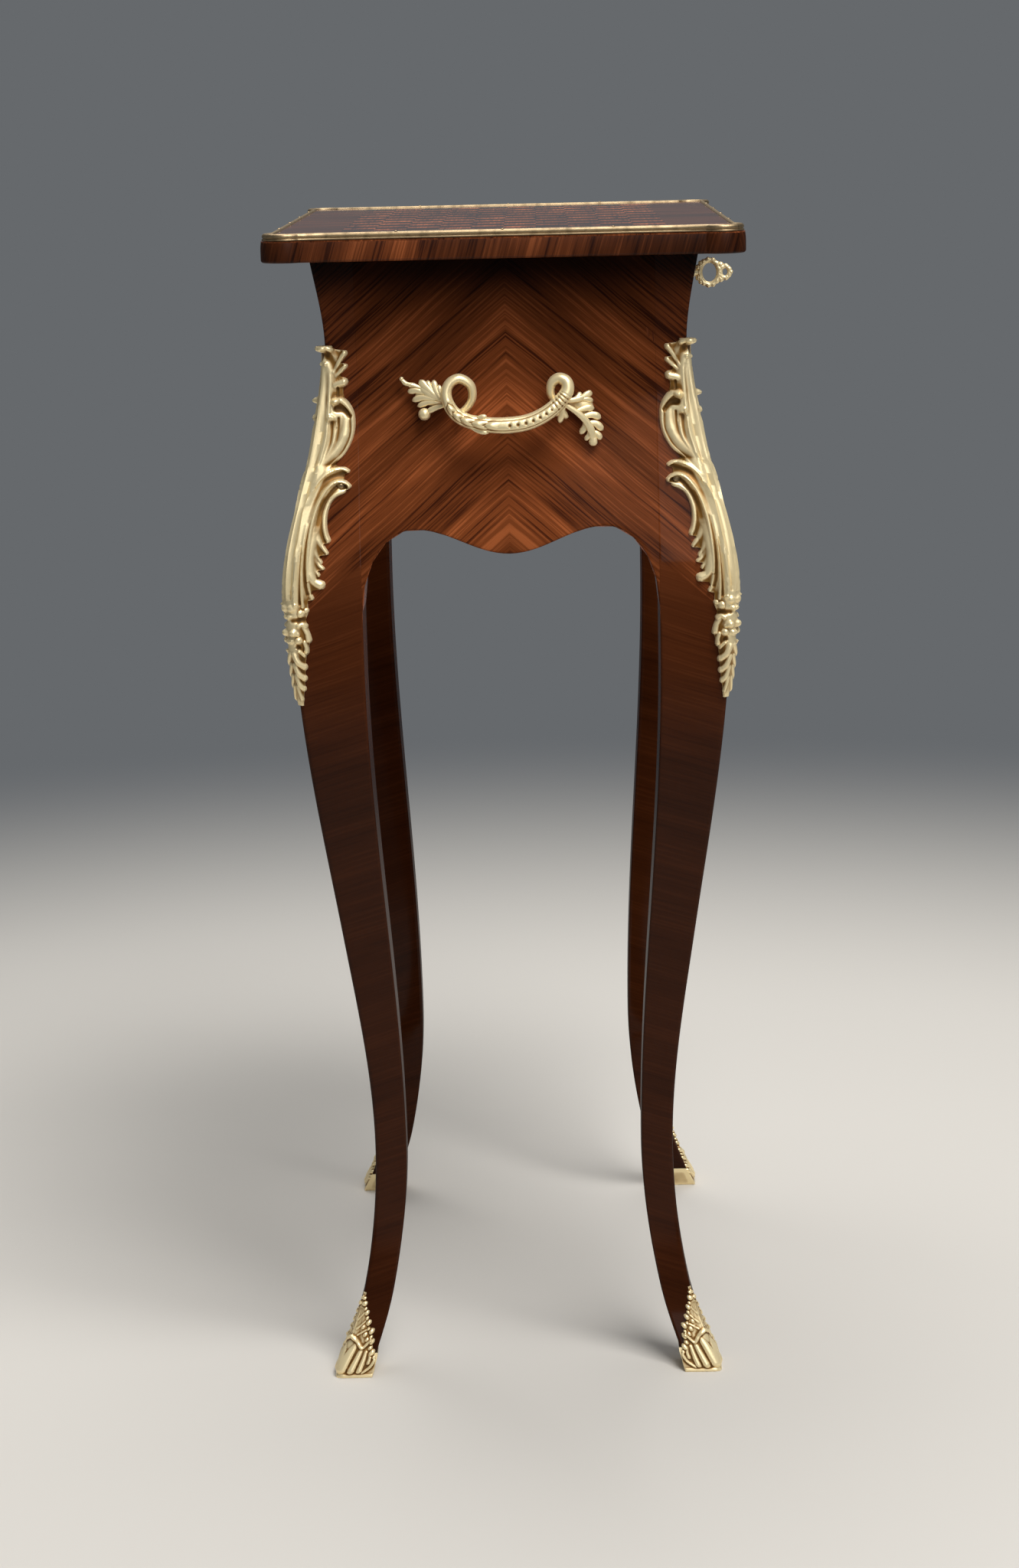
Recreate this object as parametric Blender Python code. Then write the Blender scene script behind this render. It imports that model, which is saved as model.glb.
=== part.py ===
"""A lift-top work table on four cabriole legs, with gilt-bronze mounts, a hinged lid and a box lock.

Metres, +Z up, origin on the floor under the middle of the table. X runs along the long side,
the front with the lock faces -Y, and the lid is hinged along the back at +Y.
"""

import math

import bmesh
import bpy
from mathutils import Matrix, Vector

# Overall size
LID_LENGTH = 0.440
LID_DEPTH = 0.300
TABLE_HEIGHT = 0.7585

# Gap left between pieces that touch
FIT = 0.0003

# Lid: a slab with round outset corners, a parquetry field and a brass moulding round it
LID_SLAB = 0.0132
LID_EDGE_ROUND = 0.0015
EAR_RADIUS = 0.0145
EAR_STEP = 0.004
EAR_SEGMENTS = 7
MOULDING_HEIGHT = 0.0047
MOULDING_WIDTH = 0.0070
MOULDING_SETBACK = 0.0006
FIELD_BELOW_MOULDING = 0.0010

# Outer corner line of the leg and case, as insets from the lid's edge, at heights from the floor
# on the leg and at depths below the case's top from the knee up
FOOT_INSET = 0.0220
NECK_HEIGHT = 0.055
NECK_INSET = 0.0409
ANKLE_HEIGHT = 0.150
ANKLE_INSET = 0.0507
SHIN_HEIGHT = 0.300
SHIN_INSET = 0.0353
KNEE_BELOW_TOP = 0.2153
KNEE_INSET = 0.0112
SHOULDER_BELOW_TOP = 0.1403
SHOULDER_INSET = 0.0248
WAIST_BELOW_TOP = 0.0553
WAIST_INSET = 0.0363
TOP_INSET = 0.0288

# Slope of that line, in metres of inset for each metre of height
FOOT_SLOPE = 0.36
NECK_SLOPE = 0.21
SHIN_SLOPE = -0.142
SHOULDER_SLOPE = 0.29
TOP_SLOPE = -0.17

# Leg thickness down its length, and the rounding of its outer corner
FOOT_WIDTH = 0.0205
NECK_WIDTH = 0.0195
ANKLE_WIDTH = 0.0206
SHIN_WIDTH = 0.0295
KNEE_WIDTH = 0.0445
SPRING_BELOW_TOP = 0.2503
ARRIS_RADIUS = 0.003
SHIN_LEVELS = 10
HEAD_LEVELS = 4

# Case panels, their tongues and the shaped apron under them, as depths below the case's top
PANEL_WALL = 0.0142
TONGUE_LENGTH = 0.0055
TONGUE_THICKNESS = 0.006
TONGUE_SETBACK = 0.002
TONGUE_TOP_MARGIN = 0.012
APRON_CENTRE_BELOW = 0.1843
APRON_ARCH_BELOW = 0.1683
APRON_SPRING_BELOW = 0.2193
APRON_CORNER_SPAN = 0.034
PANEL_ROWS = 10
END_COLUMNS = 16
LONG_COLUMNS = 20

# Floor of the work compartment
BATTEN_SIZE = 0.010
BOARD_THICKNESS = 0.008
BOARD_ABOVE_ARCH = 0.0125

# Gilt-bronze corner mounts, as depths below the case's top and widths round the leg's corner
CHUTE_TOP_BELOW = 0.0533
CHUTE_TIP_BELOW = 0.2793
CHUTE_RELIEF = 0.0045
CHUTE_EDGE = 0.0014
CHUTE_HALF_WIDTH = 0.024
CHUTE_ROWS = 20
CHUTE_COLUMNS = 4
CHUTE_SCREW_BELOW = 0.1403
CHUTE_SCREW_FROM_CORNER = 0.0185

# Gilt-bronze feet
SABOT_SOLE = 0.003
SABOT_WALL = 0.0028
SABOT_CUP = 0.020
SABOT_LEAF_TOP = 0.053
SABOT_LEAF_RELIEF = 0.0022
SABOT_LEAF_REACH = 0.0140
SABOT_LEAF_ROWS = 5

# Carrying handle on each end, laid out from its middle as seen from outside
HANDLE_BELOW_TOP = 0.0853
HANDLE_BAR_DROP = 0.018
HANDLE_BAR_RADIUS = 0.0047
HANDLE_BAR_STANDOFF = 0.019
HANDLE_CURL_SPACING = 0.031
HANDLE_CURL_STANDOFF = 0.0135
HANDLE_BIG_CURL = 0.0070
HANDLE_SMALL_CURL = 0.0053
HANDLE_FOOT_SPACING = 0.0465
HANDLE_FOOT_DROP = 0.008
HANDLE_BOSS_RADIUS = 0.0085
HANDLE_LEAF_LENGTH = 0.0245
HANDLE_LEAF_THICKNESS = 0.0030
HANDLE_STUD_RADIUS = 0.0024
NUT_ACROSS = 0.009
NUT_HEIGHT = 0.004

# Butt hinges in the back edge
HINGE_FROM_END = 0.110
HINGE_LENGTH = 0.050
HINGE_LEAF_WIDTH = 0.0135
HINGE_LEAF = 0.0016
KNUCKLE_RADIUS = 0.0028
HINGE_PIN_RADIUS = 0.0013
HINGE_PIN_PLAY = 0.0002
HINGE_SCREW_SPACING = 0.030

# Countersunk wood screws
SCREW_HEAD_RADIUS = 0.0024
SCREW_SHANK_RADIUS = 0.0011
SCREW_LENGTH = 0.009
SCREW_SINK = 0.0013
SCREW_HEAD_HEIGHT = 0.0016
SCREW_RECESS = 0.0006

# Box lock let into the front, its hook on the lid, its key and keyhole plate
LOCK_WIDTH = 0.050
LOCK_HEIGHT = 0.034
LOCK_THICKNESS = 0.011
LOCK_WALL = 0.0012
LOCK_SCREW_SPACING = 0.040
LOCK_SCREW_DROP = 0.028
LOCK_SCREW_BITE = 0.004
KEY_BELOW_TOP = 0.0233
HOOK_PLATE_LENGTH = 0.034
HOOK_PLATE_WIDTH = 0.012
HOOK_PLATE = 0.0016
HOOK_THICKNESS = 0.0025
HOOK_ARM = 0.004
HOOK_TOE = 0.006
HOOK_DROP = 0.0138
HOOK_TOE_HEIGHT = 0.002
HOOK_PLAY = 0.0009
HOOK_SCREW_SPACING = 0.024
BOLT_HEIGHT = 0.0046
BOLT_CLEAR_OF_TOE = 0.002
KEY_SHANK_RADIUS = 0.0022
KEY_BIT_REACH = 0.0065
KEY_BIT_WIDTH = 0.0055
KEY_BIT_THICKNESS = 0.0016
KEY_PROUD = 0.0118
KEY_BOW_LENGTH = 0.0190
KEY_BOW_HEIGHT = 0.0200
KEY_BOW_WIRE = 0.0021
KEY_COLLAR_LENGTH = 0.005
KEY_LOBE_RADIUS = 0.0037
ESCUTCHEON_WIDTH = 0.024
ESCUTCHEON_HEIGHT = 0.032
ESCUTCHEON_THICKNESS = 0.0012

ROUND = 12

# Levels and lines worked out from the sizes above
LID_TOP_FACE = TABLE_HEIGHT - FIELD_BELOW_MOULDING
LID_UNDERSIDE = TABLE_HEIGHT - MOULDING_HEIGHT - LID_SLAB
LID_SLAB_TOP = LID_UNDERSIDE + LID_SLAB
CASE_TOP = LID_UNDERSIDE - FIT
HALF_LENGTH = LID_LENGTH / 2
HALF_DEPTH = LID_DEPTH / 2
POST_INSET = KNEE_INSET + KNEE_WIDTH
WALL_INSET = WAIST_INSET + PANEL_WALL
HINGE_AXIS_Y = HALF_DEPTH - TOP_INSET + KNUCKLE_RADIUS + FIT
HINGE_AXIS_Z = LID_UNDERSIDE - FIT / 2
KEY_AXIS_Z = CASE_TOP - KEY_BELOW_TOP
SPRING_HEIGHT = CASE_TOP - SPRING_BELOW_TOP
APRON_CENTRE = CASE_TOP - APRON_CENTRE_BELOW
APRON_ARCH = CASE_TOP - APRON_ARCH_BELOW
APRON_SPRING = CASE_TOP - APRON_SPRING_BELOW
CHUTE_TOP = CASE_TOP - CHUTE_TOP_BELOW
CHUTE_TIP = CASE_TOP - CHUTE_TIP_BELOW
HANDLE_HEIGHT = CASE_TOP - HANDLE_BELOW_TOP
BOARD_BOTTOM = APRON_ARCH + BOARD_ABOVE_ARCH

OUTER_LINE = (
    (0.0, FOOT_INSET, FOOT_SLOPE),
    (NECK_HEIGHT, NECK_INSET, NECK_SLOPE),
    (ANKLE_HEIGHT, ANKLE_INSET, 0.0),
    (SHIN_HEIGHT, SHIN_INSET, SHIN_SLOPE),
    (CASE_TOP - KNEE_BELOW_TOP, KNEE_INSET, 0.0),
    (CASE_TOP - SHOULDER_BELOW_TOP, SHOULDER_INSET, SHOULDER_SLOPE),
    (CASE_TOP - WAIST_BELOW_TOP, WAIST_INSET, 0.0),
    (CASE_TOP, TOP_INSET, TOP_SLOPE),
)
INNER_LINE = (
    (0.0, FOOT_INSET + FOOT_WIDTH, FOOT_SLOPE),
    (NECK_HEIGHT, NECK_INSET + NECK_WIDTH, NECK_SLOPE),
    (ANKLE_HEIGHT, ANKLE_INSET + ANKLE_WIDTH, 0.0),
    (SHIN_HEIGHT, SHIN_INSET + SHIN_WIDTH, SHIN_SLOPE / 2),
    (SPRING_HEIGHT, POST_INSET, 0.0),
    (CASE_TOP, POST_INSET, 0.0),
)

CORNERS = {
    "front_left": (-1, -1),
    "front_right": (1, -1),
    "back_left": (-1, 1),
    "back_right": (1, 1),
}


# Materials

def material(name, colour, roughness, metallic):
    """A finish with one colour, made once and shared by the pieces that have it."""
    made = bpy.data.materials.get(name)
    if made:
        return made
    made = bpy.data.materials.new(name)
    made.use_nodes = True
    shader = made.node_tree.nodes["Principled BSDF"]
    shader.inputs["Base Color"].default_value = (*colour, 1.0)
    shader.inputs["Roughness"].default_value = roughness
    shader.inputs["Metallic"].default_value = metallic
    return made


def veneer():
    return material("polished_kingwood", (0.085, 0.030, 0.018), 0.18, 0.0)


def parquetry():
    return material("parquetry_field", (0.16, 0.075, 0.045), 0.15, 0.0)


def oak():
    return material("oak_carcase", (0.30, 0.20, 0.11), 0.6, 0.0)


def gilt_bronze():
    return material("gilt_bronze", (0.62, 0.47, 0.25), 0.38, 1.0)


def brass():
    return material("polished_brass", (0.75, 0.60, 0.32), 0.25, 1.0)


def steel():
    return material("old_steel", (0.25, 0.24, 0.23), 0.45, 1.0)


# Making and joining solids

def new_object(name, mesh, finish):
    piece = bpy.data.objects.new(name, mesh)
    bpy.context.scene.collection.objects.link(piece)
    mesh.materials.append(finish)
    return piece


def solid(name, form, finish, smooth=True):
    """Turns a finished bmesh into a named object with its faces pointing outwards."""
    bmesh.ops.recalc_face_normals(form, faces=form.faces)
    mesh = bpy.data.meshes.new(name)
    form.to_mesh(mesh)
    form.free()
    if smooth:
        mesh.shade_smooth()
        mesh.set_sharp_from_angle(angle=math.radians(35))
    return new_object(name, mesh, finish)


def combine(target, tool, operation):
    """Applies a Boolean to the target and removes the tool."""
    tool.hide_render = True
    step = target.modifiers.new("step", "BOOLEAN")
    step.operation = operation
    step.solver = "EXACT"
    step.object = tool
    bpy.context.view_layer.update()
    graph = bpy.context.evaluated_depsgraph_get()
    made = bpy.data.meshes.new_from_object(target.evaluated_get(graph))
    target.modifiers.clear()
    old = target.data
    target.data = made
    bpy.data.meshes.remove(old)
    made.name = target.name
    spare = tool.data
    bpy.data.objects.remove(tool)
    bpy.data.meshes.remove(spare)
    return target


def cut(target, tool):
    return combine(target, tool, "DIFFERENCE")


def fuse(target, *others):
    for other in others:
        combine(target, other, "UNION")
    return target


def block(low, high, finish, name="block"):
    """A box between two corners."""
    low, high = Vector(low), Vector(high)
    form = bmesh.new()
    bmesh.ops.create_cube(form, size=1.0)
    bmesh.ops.scale(form, vec=high - low, verts=form.verts)
    bmesh.ops.translate(form, vec=(low + high) / 2, verts=form.verts)
    return solid(name, form, finish, smooth=False)


def turned(start, end, radii, finish, name="turned", sides=ROUND):
    """A turned rod from start to end; radii are (share of the length, radius) pairs."""
    start, end = Vector(start), Vector(end)
    along = end - start
    side = along.orthogonal().normalized()
    other = along.normalized().cross(side)
    form = bmesh.new()
    rings = []
    for share, radius in radii:
        ring = []
        for step in range(sides):
            turn = 2 * math.pi * (step + 0.5) / sides
            spoke = side * math.cos(turn) + other * math.sin(turn)
            ring.append(form.verts.new(start + along * share + spoke * radius))
        rings.append(ring)
    skin(form, rings)
    return solid(name, form, finish)


def rod(start, end, radius, finish, name="rod", sides=ROUND):
    return turned(start, end, ((0, radius), (1, radius)), finish, name, sides)


def skin(form, rings):
    """Covers closed rings of equal count, one after another, and caps both ends."""
    for low, high in zip(rings, rings[1:]):
        for step in range(len(low)):
            after = (step + 1) % len(low)
            form.faces.new((low[step], low[after], high[after], high[step]))
    form.faces.new(rings[0])
    form.faces.new(rings[-1])


def ring_of(form, points):
    return [form.verts.new(point) for point in points]


def swept(points, radii, finish, name="swept", sides=8):
    """A round bar along a path, with its own radius at each point."""
    form = bmesh.new()
    rings = []
    last = len(points) - 1
    for index, (point, radius) in enumerate(zip(points, radii)):
        ahead = points[min(index + 1, last)] - points[max(index - 1, 0)]
        across = Vector((1, 0, 0))
        up = ahead.cross(across).normalized()
        ring = []
        for step in range(sides):
            turn = 2 * math.pi * (step + 0.5) / sides
            ring.append(form.verts.new(point + (across * math.cos(turn) + up * math.sin(turn)) * radius))
        rings.append(ring)
    skin(form, rings)
    return solid(name, form, finish)


def ball(centre, size, finish, turn=0.0, sides=8, name="ball"):
    """A ball stretched to three half sizes and turned about X."""
    form = bmesh.new()
    bmesh.ops.create_uvsphere(form, u_segments=sides, v_segments=sides // 2 + 1, radius=1.0)
    bmesh.ops.scale(form, vec=size, verts=form.verts)
    bmesh.ops.rotate(form, matrix=Matrix.Rotation(turn, 3, "X"), verts=form.verts)
    bmesh.ops.translate(form, vec=centre, verts=form.verts)
    return solid(name, form, finish)


# Curves that the pieces share

def spaced(low, high, steps):
    return [low + (high - low) * step / steps for step in range(steps + 1)]


def on_line(line, height):
    """Value at a height on a smooth curve through (height, value, slope) stations."""
    low, high = line[0], line[1]
    for low, high in zip(line, line[1:]):
        if height <= high[0]:
            break
    span = high[0] - low[0]
    share = min(max((height - low[0]) / span, 0.0), 1.0)
    square, cube = share**2, share**3
    start = (2 * cube - 3 * square + 1) * low[1] + (cube - 2 * square + share) * span * low[2]
    return start + (3 * square - 2 * cube) * high[1] + (cube - square) * span * high[2]


def outer(height):
    return on_line(OUTER_LINE, height)


def inner(height):
    return on_line(INNER_LINE, height)


def corner_point(corner, from_end, from_side, height):
    """A point given by its insets from the lid's end and from its front or back edge."""
    sign_x, sign_y = CORNERS[corner]
    return Vector((sign_x * (HALF_LENGTH - from_end), sign_y * (HALF_DEPTH - from_side), height))


def round_corner(corner, height, along, proud):
    """A point proud of the leg's outer corner; along runs from 0 on the corner, + on the end face."""
    inset = outer(height)
    centre = inset + ARRIS_RADIUS
    quarter = ARRIS_RADIUS * math.pi / 4
    if abs(along) <= quarter:
        turn = math.pi / 4 - along / ARRIS_RADIUS
        reach = ARRIS_RADIUS + proud
        return corner_point(corner, centre - reach * math.cos(turn), centre - reach * math.sin(turn), height)
    beyond = centre + abs(along) - quarter
    if along > 0:
        return corner_point(corner, inset - proud, beyond, height)
    return corner_point(corner, beyond, inset - proud, height)


def leg_ring(corner, height, grow=0.0):
    """The leg's section at a height, grown outwards by a clearance or a wall."""
    out = outer(height) - grow
    back = inner(height) + grow
    bend = out + ARRIS_RADIUS
    middle = bend - ARRIS_RADIUS * math.sqrt(0.5)
    insets = ((out, back), (out, bend), (middle, middle), (bend, out), (back, out), (back, back))
    return [corner_point(corner, a, b, height) for a, b in insets]


def apron_edge(u, half_span):
    """Height of a panel's lower edge at a distance u from its middle."""
    reach = abs(u)
    arch = half_span - APRON_CORNER_SPAN
    if reach <= arch:
        wave = (1 - math.cos(math.pi * reach / arch)) / 2
        return APRON_CENTRE + (APRON_ARCH - APRON_CENTRE) * wave
    share = min((reach - arch) / APRON_CORNER_SPAN, 1.0)
    return APRON_SPRING + (APRON_ARCH - APRON_SPRING) * math.sqrt(1 - share**2)


def lid_side(side, inward):
    """The lid's edge along one side, from mitre to mitre, moved inwards."""
    radius = EAR_RADIUS - inward
    step_turn = math.acos((EAR_RADIUS - EAR_STEP - inward) / radius)
    trim = FIT / 2 / EAR_RADIUS
    along_x = side in ("front", "back")
    half_run = (HALF_LENGTH if along_x else HALF_DEPTH) - EAR_RADIUS
    half_out = (HALF_DEPTH if along_x else HALF_LENGTH) - EAR_RADIUS
    turns = spaced(math.pi / 4 + trim, math.pi / 2 + step_turn, EAR_SEGMENTS)
    first = [(-half_run - radius * math.cos(t), half_out + radius * math.sin(t)) for t in turns]
    path = first + [(-run, out) for run, out in reversed(first)]
    sign = -1 if side in ("front", "left") else 1
    if along_x:
        return [(run, sign * out) for run, out in path]
    return [(sign * out, run) for run, out in path]


def lid_outline(inward):
    """The lid's whole edge, moved inwards, as one closed loop of plan points."""
    loop = lid_side("front", inward) + lid_side("right", inward)
    return loop + lid_side("back", inward)[::-1] + lid_side("left", inward)[::-1]


# Levels at which the legs and the mounts on them are shaped, so that they bend together

def sabot_cup_levels():
    return [SABOT_SOLE] + spaced(SABOT_CUP / 2, SABOT_CUP, 2)


def sabot_leaf_levels():
    return sabot_cup_levels()[1:] + spaced(SABOT_CUP, SABOT_LEAF_TOP, SABOT_LEAF_ROWS)[1:]


def chute_levels():
    return spaced(CHUTE_TIP, CHUTE_TOP, CHUTE_ROWS)


def leg_levels():
    levels = [SABOT_SOLE + FIT] + sabot_leaf_levels()
    levels += spaced(SABOT_LEAF_TOP, CHUTE_TIP, SHIN_LEVELS) + chute_levels()
    levels += spaced(CHUTE_TOP, CASE_TOP, HEAD_LEVELS)
    return sorted(set(levels))


# Case

def make_leg(corner):
    form = bmesh.new()
    skin(form, [ring_of(form, leg_ring(corner, height)) for height in leg_levels()])
    leg = solid("leg_" + corner, form, veneer())
    for along_x in (True, False):
        cut(leg, tongue(corner, along_x, FIT))
    return leg


def tongue(corner, along_x, grow=0.0):
    """The tongue on a panel's end that enters the leg, or its groove when grown."""
    near = WALL_INSET - TONGUE_SETBACK + grow
    far = near - TONGUE_THICKNESS - 2 * grow
    tip = POST_INSET - TONGUE_LENGTH - grow
    root = POST_INSET + TONGUE_LENGTH
    low = BOARD_BOTTOM - grow
    high = CASE_TOP - TONGUE_TOP_MARGIN + grow
    if along_x:
        ends = corner_point(corner, root, near, low), corner_point(corner, tip, far, high)
    else:
        ends = corner_point(corner, near, root, low), corner_point(corner, far, tip, high)
    lowest = [min(pair) for pair in zip(*ends)]
    highest = [max(pair) for pair in zip(*ends)]
    return block(lowest, highest, veneer(), "tongue")


def make_panel(name, along_x, sign, columns):
    """A case side: flat inside, following the leg's line outside, with a shaped lower edge."""
    half_span = (HALF_LENGTH if along_x else HALF_DEPTH) - POST_INSET - FIT
    half_out = HALF_DEPTH if along_x else HALF_LENGTH

    def place(u, inset, height):
        out = sign * (half_out - inset)
        return Vector((u, out, height)) if along_x else Vector((out, u, height))

    form = bmesh.new()
    outside, low_inside, high_inside = [], [], []
    for column in range(columns + 1):
        u = -half_span * math.cos(math.pi * column / columns)
        bottom = apron_edge(u, half_span)
        heights = [bottom + (CASE_TOP - bottom) * row / PANEL_ROWS for row in range(PANEL_ROWS + 1)]
        outside.append([form.verts.new(place(u, outer(z), z)) for z in heights])
        low_inside.append(form.verts.new(place(u, WALL_INSET, bottom)))
        high_inside.append(form.verts.new(place(u, WALL_INSET, CASE_TOP)))
    for left in range(columns):
        right = left + 1
        for row in range(PANEL_ROWS):
            form.faces.new((outside[left][row], outside[right][row], outside[right][row + 1], outside[left][row + 1]))
        form.faces.new((outside[left][-1], outside[right][-1], high_inside[right], high_inside[left]))
        form.faces.new((low_inside[left], low_inside[right], outside[right][0], outside[left][0]))
        form.faces.new((high_inside[left], high_inside[right], low_inside[right], low_inside[left]))
    for end in (0, columns):
        form.faces.new(outside[end] + [high_inside[end], low_inside[end]])
    panel = solid(name, form, veneer())
    for corner, (sign_x, sign_y) in CORNERS.items():
        if sign == (sign_y if along_x else sign_x):
            fuse(panel, tongue(corner, along_x))
    return panel


def make_floor():
    """The compartment's bottom board, notched round the legs, and the battens under it."""
    reach_x = HALF_LENGTH - WALL_INSET - FIT
    reach_y = HALF_DEPTH - WALL_INSET - FIT
    notch = max(POST_INSET - WALL_INSET, 0.0)
    points = []
    for sign_x, sign_y in ((1, 1), (-1, 1), (-1, -1), (1, -1)):
        turn = [(reach_x, reach_y - notch), (reach_x - notch, reach_y - notch), (reach_x - notch, reach_y)]
        if sign_x * sign_y < 0:
            turn.reverse()
        points += [(sign_x * x, sign_y * y) for x, y in turn]
    form = bmesh.new()
    rings = []
    for height in (BOARD_BOTTOM, BOARD_BOTTOM + BOARD_THICKNESS):
        rings.append(ring_of(form, [(x, y, height) for x, y in points]))
    skin(form, rings)
    solid("bottom_board", form, oak(), smooth=False)
    half_run = HALF_LENGTH - POST_INSET - FIT
    for name, sign in (("front", -1), ("back", 1)):
        sides = sorted((sign * reach_y, sign * (reach_y - BATTEN_SIZE)))
        top = BOARD_BOTTOM - FIT
        low = (-half_run, sides[0], top - BATTEN_SIZE)
        block(low, (half_run, sides[1], top), oak(), "bottom_batten_" + name)


# Lid

def make_lid_slab():
    form = bmesh.new()
    levels = (
        (LID_UNDERSIDE, LID_EDGE_ROUND),
        (LID_UNDERSIDE + LID_EDGE_ROUND, 0.0),
        (LID_SLAB_TOP, 0.0),
    )
    rings = [ring_of(form, [(x, y, z) for x, y in lid_outline(inward)]) for z, inward in levels]
    skin(form, rings)
    return solid("lid_slab", form, veneer())


def make_lid_field():
    form = bmesh.new()
    inward = MOULDING_SETBACK + MOULDING_WIDTH + FIT
    rings = []
    for height in (LID_SLAB_TOP + FIT, LID_TOP_FACE):
        rings.append(ring_of(form, [(x, y, height) for x, y in lid_outline(inward)]))
    skin(form, rings)
    return solid("lid_parquetry", form, parquetry())


def make_moulding(side):
    """One length of the brass moulding, mitred at the corners."""
    low = LID_SLAB_TOP + FIT
    tall = TABLE_HEIGHT - low
    section = (
        (0.0, 0.0),
        (0.0, 0.45),
        (0.15, 0.85),
        (0.42, 1.0),
        (0.80, 0.93),
        (1.0, 0.70),
        (1.0, 0.0),
    )
    lines = []
    for across, up in section:
        path = lid_side(side, MOULDING_SETBACK + across * MOULDING_WIDTH)
        lines.append([Vector((x, y, low + up * tall)) for x, y in path])
    form = bmesh.new()
    skin(form, [ring_of(form, points) for points in zip(*lines)])
    return solid("lid_moulding_" + side, form, brass())


# Gilt-bronze mounts

def chute_half_width(height):
    """Reach of the corner mount past the arris, from its pointed drop up to its leafy head."""
    share = (height - CHUTE_TIP) / (CHUTE_TOP - CHUTE_TIP)
    outline = (
        (0.00, 0.00, 3.7),
        (0.10, 0.31, 1.9),
        (0.20, 0.46, 0.7),
        (0.31, 0.54, 2.2),
        (0.36, 0.85, 0.7),
        (0.46, 0.81, -0.7),
        (0.56, 0.69, 0.7),
        (0.64, 1.00, 1.0),
        (0.68, 0.77, -1.0),
        (0.76, 0.83, 0.7),
        (0.86, 0.62, -1.5),
        (0.93, 0.50, 0.0),
        (1.00, 0.62, 1.8),
    )
    return CHUTE_HALF_WIDTH * on_line(outline, share)


def chute_relief(height, across):
    """How far the corner mount stands proud: a rib on the corner, flutes and a turned-over head."""
    share = (height - CHUTE_TIP) / (CHUTE_TOP - CHUTE_TIP)
    crown = 1 - across**2
    flutes = 0.18 * math.cos(across * 3.5 * math.pi) * min(1.0, 4 * (1 - abs(across)))
    lobes = 0.12 * math.sin(share * 9 * math.pi)
    head = 0.75 * max(0.0, (share - 0.93) / 0.07) ** 2
    ends = min(1.0, 0.35 + 5 * share)
    return CHUTE_EDGE + (CHUTE_RELIEF - CHUTE_EDGE) * ends * (crown * (1 + lobes) + flutes + head)


def across_corner(width, columns):
    """Distances round the corner, from one edge of a mount to the other, with stops where the arris ends."""
    half = [0.0] + spaced(ARRIS_RADIUS * math.pi / 4, width, columns)
    return [-along for along in reversed(half[1:])] + half


def corner_sheet(corner, name, heights, half_width, relief, columns):
    """A mount wrapped round a leg's corner, proud by the relief and clear of the wood."""
    form = bmesh.new()
    rings = []
    for height in heights:
        width = ARRIS_RADIUS + half_width(height)
        stops = across_corner(width, columns)
        proud = [FIT + relief(height, along / width) for along in stops]
        front = [round_corner(corner, height, along, out) for along, out in zip(stops, proud)]
        under = reversed(across_corner(width, 1))
        back = [round_corner(corner, height, along, FIT) for along in under]
        rings.append(ring_of(form, front + back))
    skin(form, rings)
    return solid(name, form, gilt_bronze())


def make_chute(corner):
    name = "chute_" + corner
    return corner_sheet(corner, name, chute_levels(), chute_half_width, chute_relief, CHUTE_COLUMNS)


def make_chute_screw(corner):
    """The round-headed screw that holds the corner mount on the end face, with its holes."""
    height = CASE_TOP - CHUTE_SCREW_BELOW
    share = CHUTE_SCREW_FROM_CORNER / (ARRIS_RADIUS + chute_half_width(height))
    proud = chute_relief(height, share) - SCREW_RECESS
    head = round_corner(corner, height, CHUTE_SCREW_FROM_CORNER, proud + SCREW_HEAD_HEIGHT)
    seat = round_corner(corner, height, CHUTE_SCREW_FROM_CORNER, proud)
    tip = round_corner(corner, height, CHUTE_SCREW_FROM_CORNER, proud - SCREW_LENGTH)
    run = (seat - tip).length / (head - tip).length
    radii = (
        (0, SCREW_SHANK_RADIUS),
        (run, SCREW_SHANK_RADIUS),
        (run, SCREW_HEAD_RADIUS),
        ((1 + run) / 2, SCREW_HEAD_RADIUS * 0.85),
        (1, SCREW_HEAD_RADIUS * 0.4),
    )
    screw = turned(tip, head, radii, gilt_bronze(), "chute_screw_" + corner, 10)
    inwards = (tip - head).normalized()
    for target in ("leg_" + corner, "chute_" + corner):
        hole = rod(tip + inwards * FIT, head, SCREW_SHANK_RADIUS + FIT, steel(), "hole", 10)
        cut(bpy.data.objects[target], hole)
    outside = head - inwards * SCREW_LENGTH
    recess = rod(seat + inwards * FIT, outside, SCREW_HEAD_RADIUS + FIT, steel(), "recess", 10)
    cut(bpy.data.objects["chute_" + corner], recess)
    return screw


def make_sabot(corner):
    """A bronze shoe: a cup under the foot and a pointed leaf up the outer corner."""
    form = bmesh.new()
    levels = sabot_cup_levels()
    walls = (0.9, 1.0, 0.85, 0.45)
    rings = [ring_of(form, leg_ring(corner, 0.0, FIT + SABOT_WALL * 0.6))]
    for height, wall in zip(levels, walls):
        rings.append(ring_of(form, leg_ring(corner, height, FIT + SABOT_WALL * wall)))
    for height in reversed(levels):
        rings.append(ring_of(form, leg_ring(corner, height, FIT)))
    skin(form, rings)
    cup = solid("sabot_" + corner, form, gilt_bronze())
    levels = sabot_leaf_levels()
    low, high = levels[0], levels[-1]

    def half_width(height):
        share = (height - low) / (high - low)
        return SABOT_LEAF_REACH * max(math.cos(share * math.pi / 2), 0.0) ** 0.8

    def relief(height, across):
        share = (height - low) / (high - low)
        return SABOT_LEAF_RELIEF * (0.55 + 0.45 * (1 - across**2)) * (1 - 0.4 * share)

    return fuse(cup, corner_sheet(corner, "leaf", levels, half_width, relief, 3))


# Carrying handles

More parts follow.
